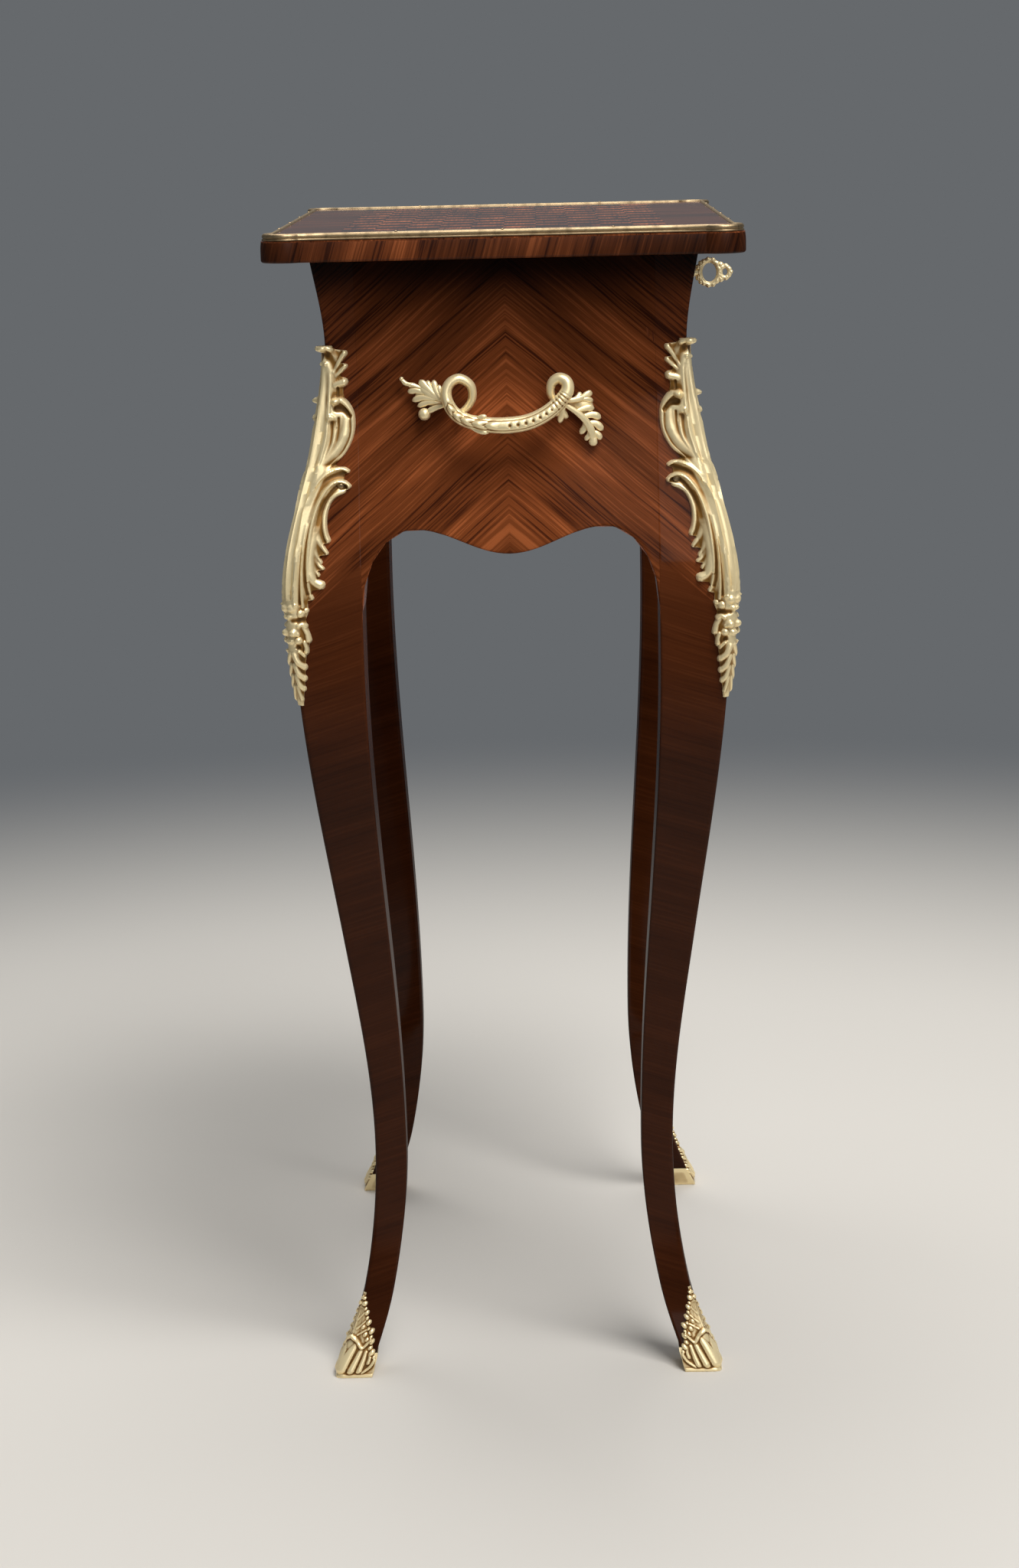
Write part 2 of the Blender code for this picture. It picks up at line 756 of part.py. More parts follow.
def make_handle(name, sign):
    """A one-piece cast handle: a sagging bar that curls over at each end into a spray of leaves."""
    panel = bpy.data.objects["left_end_panel" if sign < 0 else "right_end_panel"]
    curls = {1: HANDLE_BIG_CURL, -1: HANDLE_SMALL_CURL}
    feet = {1: HANDLE_HEIGHT, -1: HANDLE_HEIGHT - HANDLE_FOOT_DROP}
    sprays = {
        1: ((27, 1.0), (62, 0.55), (-18, 0.55), (-62, 0.60)),
        -1: ((38, 0.50), (-45, 0.78), (-76, 1.05), (-142, 0.65)),
    }

    def place(u, height, standoff):
        inset = outer(height) - standoff
        return Vector((sign * (HALF_LENGTH - inset), -sign * u, height))

    bar_points, bar_radii = [], []
    for share in spaced(-1, 1, 12):
        reach = HANDLE_CURL_SPACING + curls[1 if share > 0 else -1]
        out = HANDLE_BAR_STANDOFF + (HANDLE_CURL_STANDOFF - HANDLE_BAR_STANDOFF) * share**4
        drop = HANDLE_BAR_DROP * (1 - abs(share) ** 3)
        bar_points.append(place(share * reach, HANDLE_HEIGHT - drop, out))
        bar_radii.append(HANDLE_BAR_RADIUS * (1 - 0.45 * share**2))
    handle = swept(bar_points, bar_radii, gilt_bronze(), name)
    for end in (-1, 1):
        curl_points, curl_radii = [], []
        for share in spaced(0, 1, 11):
            turn = math.radians(270 * share)
            radius = curls[end] * (1 - 0.15 * share)
            u = end * (HANDLE_CURL_SPACING + radius * math.cos(turn))
            out = HANDLE_CURL_STANDOFF - curls[end] / 2 * share
            curl_points.append(place(u, HANDLE_HEIGHT + radius * math.sin(turn), out))
            curl_radii.append(curls[end] * (0.40 - 0.08 * share))
        fuse(handle, swept(curl_points, curl_radii, gilt_bronze(), sides=6))
        foot_u, foot_z = end * HANDLE_FOOT_SPACING, feet[end]
        boss_size = (HANDLE_BOSS_RADIUS - 2 * FIT, HANDLE_BOSS_RADIUS * 1.25, HANDLE_BOSS_RADIUS)
        boss_place = place(foot_u, foot_z, HANDLE_BOSS_RADIUS)
        fuse(handle, ball(boss_place, boss_size, gilt_bronze()))
        fuse(handle, rod(boss_place, curl_points[0], curls[end] * 0.45, gilt_bronze(), "stem", 6))
        for lean, share in sprays[end]:
            angle = math.radians(lean)
            half = HANDLE_LEAF_LENGTH * share / 2
            u = foot_u + end * half * math.cos(angle)
            leaf_place = place(u, foot_z + half * math.sin(angle), HANDLE_BOSS_RADIUS)
            size = (HANDLE_LEAF_THICKNESS, half, HANDLE_LEAF_LENGTH * 0.2)
            fuse(handle, ball(leaf_place, size, gilt_bronze(), -sign * end * angle, sides=6))
        inside = sign * (HALF_LENGTH - WALL_INSET)
        stud_end = Vector((inside - sign * (NUT_HEIGHT + 2 * FIT), boss_place.y, foot_z))
        fuse(handle, rod(boss_place, stud_end, HANDLE_STUD_RADIUS, gilt_bronze(), "stud", 8))
        hole_end = stud_end - Vector((sign * FIT, 0, 0))
        cut(panel, rod(boss_place, hole_end, HANDLE_STUD_RADIUS + FIT, steel(), "hole", 8))
        make_nut(f"{name}_nut_{'back' if boss_place.y > 0 else 'front'}", sign, boss_place.y, foot_z)
    return handle


def make_nut(name, sign, side, height):
    """A square brass nut on a handle's stud, against the inside of the panel."""
    near = sign * (HALF_LENGTH - WALL_INSET - FIT)
    far = near - sign * NUT_HEIGHT
    half = NUT_ACROSS / 2
    low = (min(near, far), side - half, height - half)
    high = (max(near, far), side + half, height + half)
    nut = block(low, high, brass(), name)
    start = Vector((near + sign * FIT, side, height))
    end = Vector((far - sign * FIT, side, height))
    return cut(nut, rod(start, end, HANDLE_STUD_RADIUS + FIT, steel(), "hole", 8))


# Hinges

def make_screw(name, seat, into, targets, run=SCREW_LENGTH):
    """A countersunk screw sunk flush in its plate at seat, running into the wood."""
    seat, into = Vector(seat), Vector(into)
    mouth = -FIT / run
    neck = SCREW_SINK / run

    def shape(grow, depth):
        return (
            (mouth if grow else 0.0, SCREW_HEAD_RADIUS + grow),
            (neck, SCREW_SHANK_RADIUS + grow),
            (depth, SCREW_SHANK_RADIUS + grow),
        )

    tip = seat + into * run
    for target in targets:
        hole = turned(seat, tip, shape(FIT, 1 + FIT / run), steel(), "hole", 10)
        cut(bpy.data.objects[target], hole)
    return turned(seat, tip, shape(0.0, 1.0), brass(), name, 10)


def make_hinge(name, middle):
    """A butt hinge: two leaves let in flush, with three knuckles on one pin."""
    axis_start = Vector((middle - HINGE_LENGTH / 2, HINGE_AXIS_Y, HINGE_AXIS_Z))
    third = HINGE_LENGTH / 3
    leaf_back = HINGE_AXIS_Y - KNUCKLE_RADIUS - FIT
    leaf_front = leaf_back - HINGE_LEAF_WIDTH

    def leaf(part, low_z, high_z, spans):
        low = (axis_start.x, leaf_front, low_z)
        plate = block(low, (axis_start.x + HINGE_LENGTH, leaf_back, high_z), brass(), f"{name}_{part}_leaf")
        for first, last in spans:
            start = axis_start + Vector((first, 0, 0))
            end = axis_start + Vector((last, 0, 0))
            bridge_low = (start.x, leaf_back - FIT, low_z)
            bridge = block(bridge_low, (end.x, HINGE_AXIS_Y, high_z), brass())
            fuse(plate, bridge, rod(start, end, KNUCKLE_RADIUS, brass()))
            bore = rod(start - Vector((FIT, 0, 0)), end + Vector((FIT, 0, 0)), HINGE_PIN_RADIUS + HINGE_PIN_PLAY, steel())
            cut(plate, bore)
        return plate

    end_spans = ((0, third - FIT / 2), (2 * third + FIT / 2, HINGE_LENGTH))
    leaf("case", CASE_TOP - HINGE_LEAF, CASE_TOP, end_spans)
    leaf("lid", LID_UNDERSIDE, LID_UNDERSIDE + HINGE_LEAF, ((third + FIT / 2, 2 * third - FIT / 2),))
    axis_end = axis_start + Vector((HINGE_LENGTH, 0, 0))
    rod(axis_start, axis_end, HINGE_PIN_RADIUS, steel(), f"{name}_pin")
    case_low = (axis_start.x - FIT, leaf_front - FIT, CASE_TOP - HINGE_LEAF - FIT)
    case_high = (axis_end.x + FIT, HINGE_AXIS_Y, LID_UNDERSIDE)
    cut(bpy.data.objects["back_panel"], block(case_low, case_high, steel(), "pocket"))
    lid_low = (axis_start.x - FIT, leaf_front - FIT, CASE_TOP)
    lid_high = (axis_end.x + FIT, HINGE_AXIS_Y, LID_UNDERSIDE + HINGE_LEAF + FIT)
    lid = bpy.data.objects["lid_slab"]
    cut(lid, block(lid_low, lid_high, steel(), "pocket"))
    past = Vector((FIT, 0, 0))
    cut(lid, rod(axis_start - past, axis_end + past, KNUCKLE_RADIUS + 2 * FIT, steel(), "groove", 24))
    screw_y = (leaf_front + leaf_back) / 2
    for label, side in (("left", -1), ("right", 1)):
        x = middle + side * HINGE_SCREW_SPACING / 2
        targets = (f"{name}_case_leaf", "back_panel")
        make_screw(f"{name}_case_screw_{label}", (x, screw_y, CASE_TOP), (0, 0, -1), targets)
        targets = (f"{name}_lid_leaf", "lid_slab")
        make_screw(f"{name}_lid_screw_{label}", (x, screw_y, LID_UNDERSIDE), (0, 0, 1), targets)


# Lock

def make_lock():
    """The lock case let into the front panel, with its bolt, and the hook under the lid."""
    front = bpy.data.objects["front_panel"]
    lid = bpy.data.objects["lid_slab"]
    inside = -(HALF_DEPTH - WALL_INSET)
    deep = inside - LOCK_THICKNESS
    half = LOCK_WIDTH / 2
    low_z = CASE_TOP - LOCK_HEIGHT
    pocket_low = (-half - FIT, deep - FIT, low_z - FIT)
    cut(front, block(pocket_low, (half + FIT, inside + FIT, CASE_TOP + FIT), steel(), "pocket"))
    case = block((-half, deep, low_z), (half, inside, CASE_TOP), steel(), "lock_case")
    hollow_low = (-half + LOCK_WALL, deep - FIT, low_z + LOCK_WALL)
    hollow_high = (half - LOCK_WALL, inside - LOCK_WALL, CASE_TOP - LOCK_WALL)
    cut(case, block(hollow_low, hollow_high, steel(), "hollow"))

    hook_y = (deep + inside - LOCK_WALL) / 2
    thick = HOOK_THICKNESS / 2
    arm_left = -HOOK_ARM - HOOK_TOE / 2
    toe_right = HOOK_TOE / 2
    toe_low = LID_UNDERSIDE - HOOK_DROP
    slot_low = (arm_left - HOOK_PLAY, hook_y - thick - HOOK_PLAY, CASE_TOP - LOCK_WALL - FIT)
    slot_high = (toe_right + HOOK_PLAY, hook_y + thick + HOOK_PLAY, CASE_TOP + FIT)
    cut(case, block(slot_low, slot_high, steel(), "slot"))

    plate_half = HOOK_PLATE_LENGTH / 2
    plate_low = (-plate_half, hook_y - HOOK_PLATE_WIDTH / 2, LID_UNDERSIDE)
    plate_high = (plate_half, hook_y + HOOK_PLATE_WIDTH / 2, LID_UNDERSIDE + HOOK_PLATE)
    grow = Vector((FIT, FIT, FIT))
    cut(lid, block(Vector(plate_low) - grow, Vector(plate_high) + grow, steel(), "pocket"))
    hook = block(plate_low, plate_high, brass(), "lock_hook")
    arm_low = (arm_left, hook_y - thick, toe_low)
    arm_high = (arm_left + HOOK_ARM, hook_y + thick, LID_UNDERSIDE + HOOK_PLATE / 2)
    toe_high = (toe_right, hook_y + thick, toe_low + HOOK_TOE_HEIGHT)
    fuse(hook, block(arm_low, arm_high, brass()))
    fuse(hook, block((arm_left + HOOK_ARM / 2, hook_y - thick, toe_low), toe_high, brass()))
    for label, side in (("left", -1), ("right", 1)):
        x = side * HOOK_SCREW_SPACING / 2
        make_screw(f"hook_screw_{label}", (x, hook_y, LID_UNDERSIDE), (0, 0, 1), ("lock_hook", "lid_slab"))

    bolt_low_z = toe_low + HOOK_TOE_HEIGHT + FIT
    bolt_tip = toe_right + BOLT_CLEAR_OF_TOE + 2 * FIT
    bolt_end = half - LOCK_WALL - 2 * FIT
    bolt_back = inside - LOCK_WALL - FIT
    bolt_low = (bolt_tip, hook_y - thick, bolt_low_z)
    block(bolt_low, (bolt_end, bolt_back, bolt_low_z + BOLT_HEIGHT), brass(), "lock_bolt")
    screw_z = CASE_TOP - LOCK_SCREW_DROP
    for label, side in (("left", -1), ("right", 1)):
        x = side * LOCK_SCREW_SPACING / 2
        targets = ("lock_case", "front_panel")
        run = LOCK_THICKNESS + LOCK_SCREW_BITE
        make_screw(f"lock_screw_{label}", (x, inside, screw_z), (0, -1, 0), targets, run)


def make_key():
    """The key, in the lock with its bit down, its bow upright across the front."""
    face = -(HALF_DEPTH - outer(KEY_AXIS_Z))
    inside = -(HALF_DEPTH - WALL_INSET)
    tip = inside - LOCK_WALL - FIT
    collar = face - KEY_PROUD
    bow_middle = collar - KEY_BOW_LENGTH / 2
    shank_end = collar - KEY_BOW_WIRE
    key = rod((0, tip, KEY_AXIS_Z), (0, shank_end, KEY_AXIS_Z), KEY_SHANK_RADIUS, brass(), "key", 12)
    bow_points, bow_radii = [], []
    for step in range(ROUND + 5):
        turn = 2 * math.pi * step / (ROUND + 4)
        y = bow_middle + (KEY_BOW_LENGTH / 2 - KEY_BOW_WIRE) * math.cos(turn)
        z = KEY_AXIS_Z + (KEY_BOW_HEIGHT / 2 - KEY_BOW_WIRE) * math.sin(turn)
        bow_points.append((y, z))
    form = bmesh.new()
    rings = []
    for y, z in bow_points[:-1]:
        spoke = Vector((0, y - bow_middle, z - KEY_AXIS_Z)).normalized()
        middle = Vector((0, y, z))
        ring = []
        for side in range(6):
            turn = 2 * math.pi * side / 6
            ring.append(middle + (spoke * math.cos(turn) + Vector((1, 0, 0)) * math.sin(turn)) * KEY_BOW_WIRE)
        rings.append(ring_of(form, ring))
    rings.append(rings[0])
    for low, high in zip(rings, rings[1:]):
        for step in range(6):
            after = (step + 1) % 6
            form.faces.new((low[step], low[after], high[after], high[step]))
    fuse(key, solid("bow", form, brass()))
    collar_start = (0, collar + KEY_COLLAR_LENGTH, KEY_AXIS_Z)
    collar_end = (0, collar - KEY_BOW_WIRE / 2, KEY_AXIS_Z)
    fuse(key, rod(collar_start, collar_end, KEY_SHANK_RADIUS * 1.7, brass(), "collar"))
    far = collar - KEY_BOW_LENGTH
    size = (KEY_LOBE_RADIUS * 0.65, KEY_LOBE_RADIUS, KEY_LOBE_RADIUS)
    for turn in (-40, 0, 40):
        angle = math.radians(turn)
        y = far - KEY_LOBE_RADIUS * 0.7 + (1 - math.cos(angle)) * KEY_BOW_LENGTH * 0.6
        z = KEY_AXIS_Z + KEY_BOW_HEIGHT / 2 * math.sin(angle)
        fuse(key, ball((0, y, z), size, brass()))
    bit_low = (-KEY_BIT_THICKNESS / 2, tip - KEY_BIT_WIDTH, KEY_AXIS_Z - KEY_BIT_REACH)
    fuse(key, block(bit_low, (KEY_BIT_THICKNESS / 2, tip - FIT, KEY_AXIS_Z), brass(), "bit"))

    front = bpy.data.objects["front_panel"]
    make_escutcheon(face)
    for target in (front, bpy.data.objects["escutcheon"]):
        through = rod((0, collar, KEY_AXIS_Z), (0, tip, KEY_AXIS_Z), KEY_SHANK_RADIUS + FIT, steel(), "keyhole", 12)
        cut(target, through)
        half = KEY_BIT_THICKNESS / 2 + FIT
        slot_low = (-half, collar, KEY_AXIS_Z - KEY_BIT_REACH - FIT)
        cut(target, block(slot_low, (half, tip, KEY_AXIS_Z), steel(), "keyslot"))
    return key


def make_escutcheon(face):
    """A small wavy keyhole plate that follows the curve of the front."""
    form = bmesh.new()
    plate_out, plate_in = [], []
    sides = 24
    shares = (0.25, 0.6, 1.0)
    for share in shares:
        ring_out, ring_in = [], []
        for step in range(sides):
            turn = 2 * math.pi * step / sides
            wave = 1 + 0.09 * math.cos(6 * turn)
            x = ESCUTCHEON_WIDTH / 2 * wave * share * math.sin(turn)
            z = KEY_AXIS_Z - KEY_BIT_REACH / 3 + ESCUTCHEON_HEIGHT / 2 * wave * share * math.cos(turn)
            y = -(HALF_DEPTH - outer(z))
            ring_out.append((x, y - FIT - ESCUTCHEON_THICKNESS * (1 - 0.4 * share**4), z))
            ring_in.append((x, y - FIT, z))
        plate_out.append(ring_of(form, ring_out))
        plate_in.append(ring_of(form, ring_in))
    skin(form, plate_out + plate_in[::-1])
    return solid("escutcheon", form, gilt_bronze())


def main():
    for old in list(bpy.data.objects):
        bpy.data.objects.remove(old)
    for corner in CORNERS:
        make_leg(corner)
    make_panel("front_panel", True, -1, LONG_COLUMNS)
    make_panel("back_panel", True, 1, LONG_COLUMNS)
    make_panel("left_end_panel", False, -1, END_COLUMNS)
    make_panel("right_end_panel", False, 1, END_COLUMNS)
    make_floor()
    make_lid_slab()
    make_lid_field()
    for side in ("front", "right", "back", "left"):
        make_moulding(side)
    for corner in CORNERS:
        make_chute(corner)
        make_chute_screw(corner)
        make_sabot(corner)
    make_handle("handle_left", -1)
    make_handle("handle_right", 1)
    make_hinge("hinge_left", HINGE_FROM_END - HALF_LENGTH)
    make_hinge("hinge_right", HALF_LENGTH - HINGE_FROM_END)
    make_lock()
    make_key()


main()
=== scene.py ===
import math

import bmesh
import bpy
import numpy as np
from bpy.props import FloatProperty, FloatVectorProperty, IntProperty, PointerProperty
from mathutils import Matrix, Vector


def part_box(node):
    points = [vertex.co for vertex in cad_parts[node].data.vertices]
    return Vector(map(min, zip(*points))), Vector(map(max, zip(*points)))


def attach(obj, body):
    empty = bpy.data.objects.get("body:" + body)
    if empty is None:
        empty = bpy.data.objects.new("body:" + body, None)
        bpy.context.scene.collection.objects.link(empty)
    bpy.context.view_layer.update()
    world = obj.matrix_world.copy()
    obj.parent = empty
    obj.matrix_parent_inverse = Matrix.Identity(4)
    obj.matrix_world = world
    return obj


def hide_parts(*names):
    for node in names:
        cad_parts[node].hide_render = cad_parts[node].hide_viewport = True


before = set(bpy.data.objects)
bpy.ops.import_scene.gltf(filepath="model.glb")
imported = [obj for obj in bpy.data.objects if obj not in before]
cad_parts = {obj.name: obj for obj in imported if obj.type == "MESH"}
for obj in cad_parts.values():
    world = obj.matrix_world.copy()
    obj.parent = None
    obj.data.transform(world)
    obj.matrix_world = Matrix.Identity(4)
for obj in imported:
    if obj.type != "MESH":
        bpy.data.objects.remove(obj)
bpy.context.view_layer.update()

bl_info = {
    "name": "Lift-top work table",
    "version": (1, 0, 0),
    "blender": (4, 5, 0),
    "location": "View3D > Sidebar > Work Table",
    "description": "Dresses the packed work table with veneer, gilt-bronze mounts and its stage",
    "category": "Object",
}

LID_LOW, LID_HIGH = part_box("lid_slab")
CASE_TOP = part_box("front_panel")[1].z
TABLE_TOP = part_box("lid_moulding_front")[1].z
PARQUETRY_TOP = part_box("lid_parquetry")[1].z

# The lid's round corners are faceted in the frame, so its box falls a hair short of the true size.
HALF_LENGTH = round(LID_HIGH.x, 3)
HALF_DEPTH = round(LID_HIGH.y, 3)

# Outer and inner lines of the leg and case: height, inset from the lid's edge, slope
OUTER_LINE = (
    (0.0, 0.0220, 0.36),
    (0.055, 0.0409, 0.21),
    (0.150, 0.0507, 0.0),
    (0.300, 0.0353, -0.142),
    (CASE_TOP - 0.2153, 0.0112, 0.0),
    (CASE_TOP - 0.1403, 0.0248, 0.29),
    (CASE_TOP - 0.0553, 0.0363, 0.0),
    (CASE_TOP, 0.0288, -0.17),
)
INNER_LINE = (
    (0.0, 0.0425, 0.36),
    (0.055, 0.0604, 0.21),
    (0.150, 0.0713, 0.0),
    (0.300, 0.0648, -0.071),
    (CASE_TOP - 0.2503, 0.0557, 0.0),
    (CASE_TOP, 0.0557, 0.0),
)
POST_INSET = 0.0557
WALL_INSET = 0.0505
APRON_CENTRE = CASE_TOP - 0.1843
APRON_ARCH = CASE_TOP - 0.1683
APRON_SPRING = CASE_TOP - 0.2193
APRON_CORNER_SPAN = 0.034
FIT = 0.0003

CORNERS = {
    "front_left": (-1, -1),
    "front_right": (1, -1),
    "back_left": (-1, 1),
    "back_right": (1, 1),
}
SIDES = ("front", "right", "back", "left")


def linear(code):
    """Linear red, green and blue of an sRGB hex colour."""
    parts = [int(code[i : i + 2], 16) / 255 for i in (1, 3, 5)]
    return [p / 12.92 if p <= 0.04045 else ((p + 0.055) / 1.055) ** 2.4 for p in parts]


def colour_property(name, description, code):
    return FloatVectorProperty(
        name=name, description=description, subtype="COLOR", min=0, max=1, default=linear(code)
    )


class WorkTableSizes(bpy.types.PropertyGroup):
    """Sizes of the veneer and of the metalwork that a maker would change."""

    veneer: FloatProperty(
        name="Veneer", description="How far the veneer stands proud of the carcase",
        default=0.0004, min=0.0, unit="LENGTH",
    )
    arris: FloatProperty(
        name="Corner rounding", description="Radius of the outer corner of the legs",
        default=0.003, min=0.0005, unit="LENGTH",
    )
    leg_edge: FloatProperty(
        name="Leg edge", description="Rounding of the other edges of the legs",
        default=0.0014, min=0.0002, unit="LENGTH",
    )
    square: FloatProperty(
        name="Parquetry square", description="Side of one square of the lid's parquetry",
        default=0.0203, min=0.005, unit="LENGTH",
    )
    border: FloatProperty(
        name="Lid border", description="Width of the cross-banded border inside the moulding",
        default=0.0400, min=0.005, unit="LENGTH",
    )
    relief: FloatProperty(
        name="Mount relief", description="Scale of the chased relief on the gilt-bronze mounts",
        default=1.0, min=0.1, max=2.0, subtype="FACTOR",
    )
    pin: FloatProperty(
        name="Moulding pin", description="Radius of the pin heads along the lid's moulding",
        default=0.0011, min=0.0003, unit="LENGTH",
    )


class WorkTableFinishes(bpy.types.PropertyGroup):
    """Colours of the finishes and the lay of the veneer."""

    wood_dark: colour_property("Wood, dark lines", "Dark lines of the kingwood", "#38180b")
    wood_mid: colour_property("Wood, ground", "Red-brown ground of the kingwood", "#693519")
    wood_light: colour_property("Wood, light", "Orange-brown light streaks of the kingwood", "#8f4d29")
    bronze_crest: colour_property("Bronze, crests", "Burnished crests of the gilding", "#fbe6b4")
    # The hollow colour also carries painted shade in the mounts' recesses.
    bronze_hollow: colour_property("Bronze, hollows", "Toned hollows of the gilding", "#8f6324")
    brass: colour_property("Brass", "Polished brass of the moulding and small fittings", "#a38d6c")
    steel: colour_property("Steel", "Dull steel of the lock and hinge pins", "#6b6864")
    oak: colour_property("Oak", "Plain oak of the inside", "#9a6f43")
    panel_slant: FloatProperty(
        name="Panel grain", description="Slant of the veneer on the case, falling away from the middle",
        default=math.radians(40), subtype="ANGLE",
    )
    leg_slant: FloatProperty(
        name="Leg grain", description="Slant of the cross-laid veneer on the legs",
        default=math.radians(18), subtype="ANGLE",
    )


class WorkTableStage(bpy.types.PropertyGroup):
    """Light and surroundings."""

    floor: colour_property("Floor", "Plain pale floor", "#cdc8c0")
    backdrop: colour_property("Backdrop", "Even tone behind the table", "#66696c")
    key: FloatProperty(name="Key light", description="Power of the main soft light", default=107, unit="POWER")
    fill: FloatProperty(name="Fill light", description="Power of the light beside the camera", default=19, unit="POWER")
    top: FloatProperty(name="Top light", description="Power of the light above", default=40, unit="POWER")


# Shapes that the pieces share

def on_line(line, heights):
    """Values at heights on a smooth curve through (height, value, slope) stations."""
    line = np.array(line, float)
    heights = np.clip(np.asarray(heights, float), line[0, 0], line[-1, 0])
    index = np.clip(np.searchsorted(line[:, 0], heights) - 1, 0, len(line) - 2)
    low, high = line[index], line[index + 1]
    span = high[..., 0] - low[..., 0]
    t = (heights - low[..., 0]) / span
    start = (2 * t**3 - 3 * t**2 + 1) * low[..., 1] + (t**3 - 2 * t**2 + t) * span * low[..., 2]
    return start + (3 * t**2 - 2 * t**3) * high[..., 1] + (t**3 - t**2) * span * high[..., 2]


def outer(heights):
    return on_line(OUTER_LINE, heights)


def inner(heights):
    return on_line(INNER_LINE, heights)


def ease(low, high, value):
    """0 below low, 1 above high, smooth between."""
    t = np.clip((np.asarray(value, float) - low) / (high - low), 0, 1)
    return t * t * (3 - 2 * t)


def on_corner(corner, from_end, from_side, heights):
    """Points given by their insets from the lid's end and from its front or back edge."""
    sign_x, sign_y = CORNERS[corner]
    return np.stack([sign_x * (HALF_LENGTH - from_end), sign_y * (HALF_DEPTH - from_side), heights], -1)


def round_corner(corner, heights, along, proud, arris):
    """Points proud of the leg's outer corner; along is 0 on the corner and + on the end face."""
    inset = outer(heights)
    centre = inset + arris
    quarter = arris * math.pi / 4
    turn = math.pi / 4 - np.clip(along, -quarter, quarter) / arris
    beyond = np.maximum(np.abs(along) - quarter, 0)
    reach = arris + proud
    from_end = centre - reach * np.cos(turn) + np.where(along < 0, beyond, 0)
    from_side = centre - reach * np.sin(turn) + np.where(along > 0, beyond, 0)
    return on_corner(corner, from_end, from_side, heights)


def smooth_path(points, steps):
    """Points spaced along a smooth curve through the given ones."""
    points = np.array(points, float)
    ends = np.vstack([2 * points[0] - points[1], points, 2 * points[-1] - points[-2]])
    place = np.linspace(0, len(points) - 1, steps + 1)
    index = np.minimum(place.astype(int), len(points) - 2)
    t = (place - index)[:, None]
    a, b, c, d = (ends[index + k] for k in range(4))
    return 0.5 * (2 * b + (c - a) * t + (2 * a - 5 * b + 4 * c - d) * t**2 + (3 * b - a - 3 * c + d) * t**3)


def move(verts, place):
    """Moves the vertices of a unit sheet to their places on the piece."""
    flat = np.array([v.co for v in verts])
    for vert, point in zip(verts, place(*flat.T)):
        vert.co = point


def sheet(form, columns, rows):
    """A flat unit sheet in the form, from (0, 0) to (1, 1)."""
    shift = Matrix.Translation((0.5, 0.5, 0))
    return bmesh.ops.create_grid(form, x_segments=columns, y_segments=rows, size=0.5, matrix=shift)["verts"]


def slab(form, columns, rows, place):
    """A unit sheet given a back, moved by place(across, up, back)."""
    verts = sheet(form, columns, rows)
    faces = list({face for vert in verts for face in vert.link_faces})
    made = bmesh.ops.extrude_face_region(form, geom=faces)["geom"]
    backs = [item for item in made if isinstance(item, bmesh.types.BMVert)]
    bmesh.ops.translate(form, vec=(0, 0, 1), verts=backs)
    move(verts + backs, place)


def tube(form, sides, steps, place, closed=False):
    """A unit sheet rolled up by place(round, along, _) and joined at its seam; its ends are filled unless closed says
    that they meet.
    """
    verts = sheet(form, sides, steps)
    move(verts, place)
    faces = {face for vert in verts for face in vert.link_faces}
    bmesh.ops.remove_doubles(form, verts=verts, dist=1e-6)
    if closed:
        return
    rim = {edge for face in faces if face.is_valid for edge in face.edges if edge.is_boundary}
    bmesh.ops.holes_fill(form, edges=list(rim), sides=0)


def ball(form, centre, radii, sides=14, turn=None):
    """A small chased boss or bud."""
    matrix = Matrix.Translation(centre) @ (turn or Matrix.Identity(4)) @ Matrix.Diagonal((*radii, 1))
    bmesh.ops.create_uvsphere(form, u_segments=sides, v_segments=sides // 2 + 1, radius=1, matrix=matrix)


def face_out(form):
    """Turns each closed shell of the form outwards, going by the sign of its volume."""
    bmesh.ops.recalc_face_normals(form, faces=form.faces)
    waiting = set(form.faces)
    while waiting:
        shell, queue = [], [waiting.pop()]
        while queue:
            face = queue.pop()
            shell.append(face)
            beside = {other for edge in face.edges for other in edge.link_faces} & waiting
            waiting -= beside
            queue.extend(beside)
        volume = 0.0
        for face in shell:
            first, *rest = (vert.co for vert in face.verts)
            volume += sum(first.dot(b.cross(c)) for b, c in zip(rest, rest[1:]))
        if volume < 0:
            bmesh.ops.reverse_faces(form, faces=shell)


def mark_crests_and_hollow_shade(form, rounds, depth):
    """Writes how far each point stands above (1) or below (0) the surface around it, for the gilding's burnished crests
    and for painted shade in its hollows.
    """
    form.normal_update()
    form.verts.index_update()
    ends = np.array([[v.index for v in edge.verts] for edge in form.edges])
    ends = np.vstack([ends, ends[:, ::-1]])
    points = np.array([v.co for v in form.verts])
    normals = np.array([v.normal for v in form.verts])
    count = np.bincount(ends[:, 0], minlength=len(points))
    soft = points
    for _ in range(rounds):
        sums = [np.bincount(ends[:, 0], soft[ends[:, 1], axis], len(points)) for axis in range(3)]
        soft = np.stack(sums, -1) / np.maximum(count, 1)[:, None]
    height = np.einsum("ij,ij->i", points - soft, normals)
    layer = form.verts.layers.float.new("crest")
    for vert, value in zip(form.verts, np.clip(0.5 + 0.5 * height / depth, 0, 1)):
        vert[layer] = value


def veneer_map(form, mirrored=True):
    """Lays the veneer's map on each face: distance past the panel's joint, or along the side, and height."""
    layer = form.loops.layers.uv.new("veneer")
    form.normal_update()
    for face in form.faces:
        on_end = abs(face.normal.x) > abs(face.normal.y)
        joint = (HALF_DEPTH if on_end else HALF_LENGTH) - POST_INSET
        for loop in face.loops:
            run = loop.vert.co.y if on_end else loop.vert.co.x
            loop[layer].uv = (abs(run) - joint if mirrored else run, loop.vert.co.z)


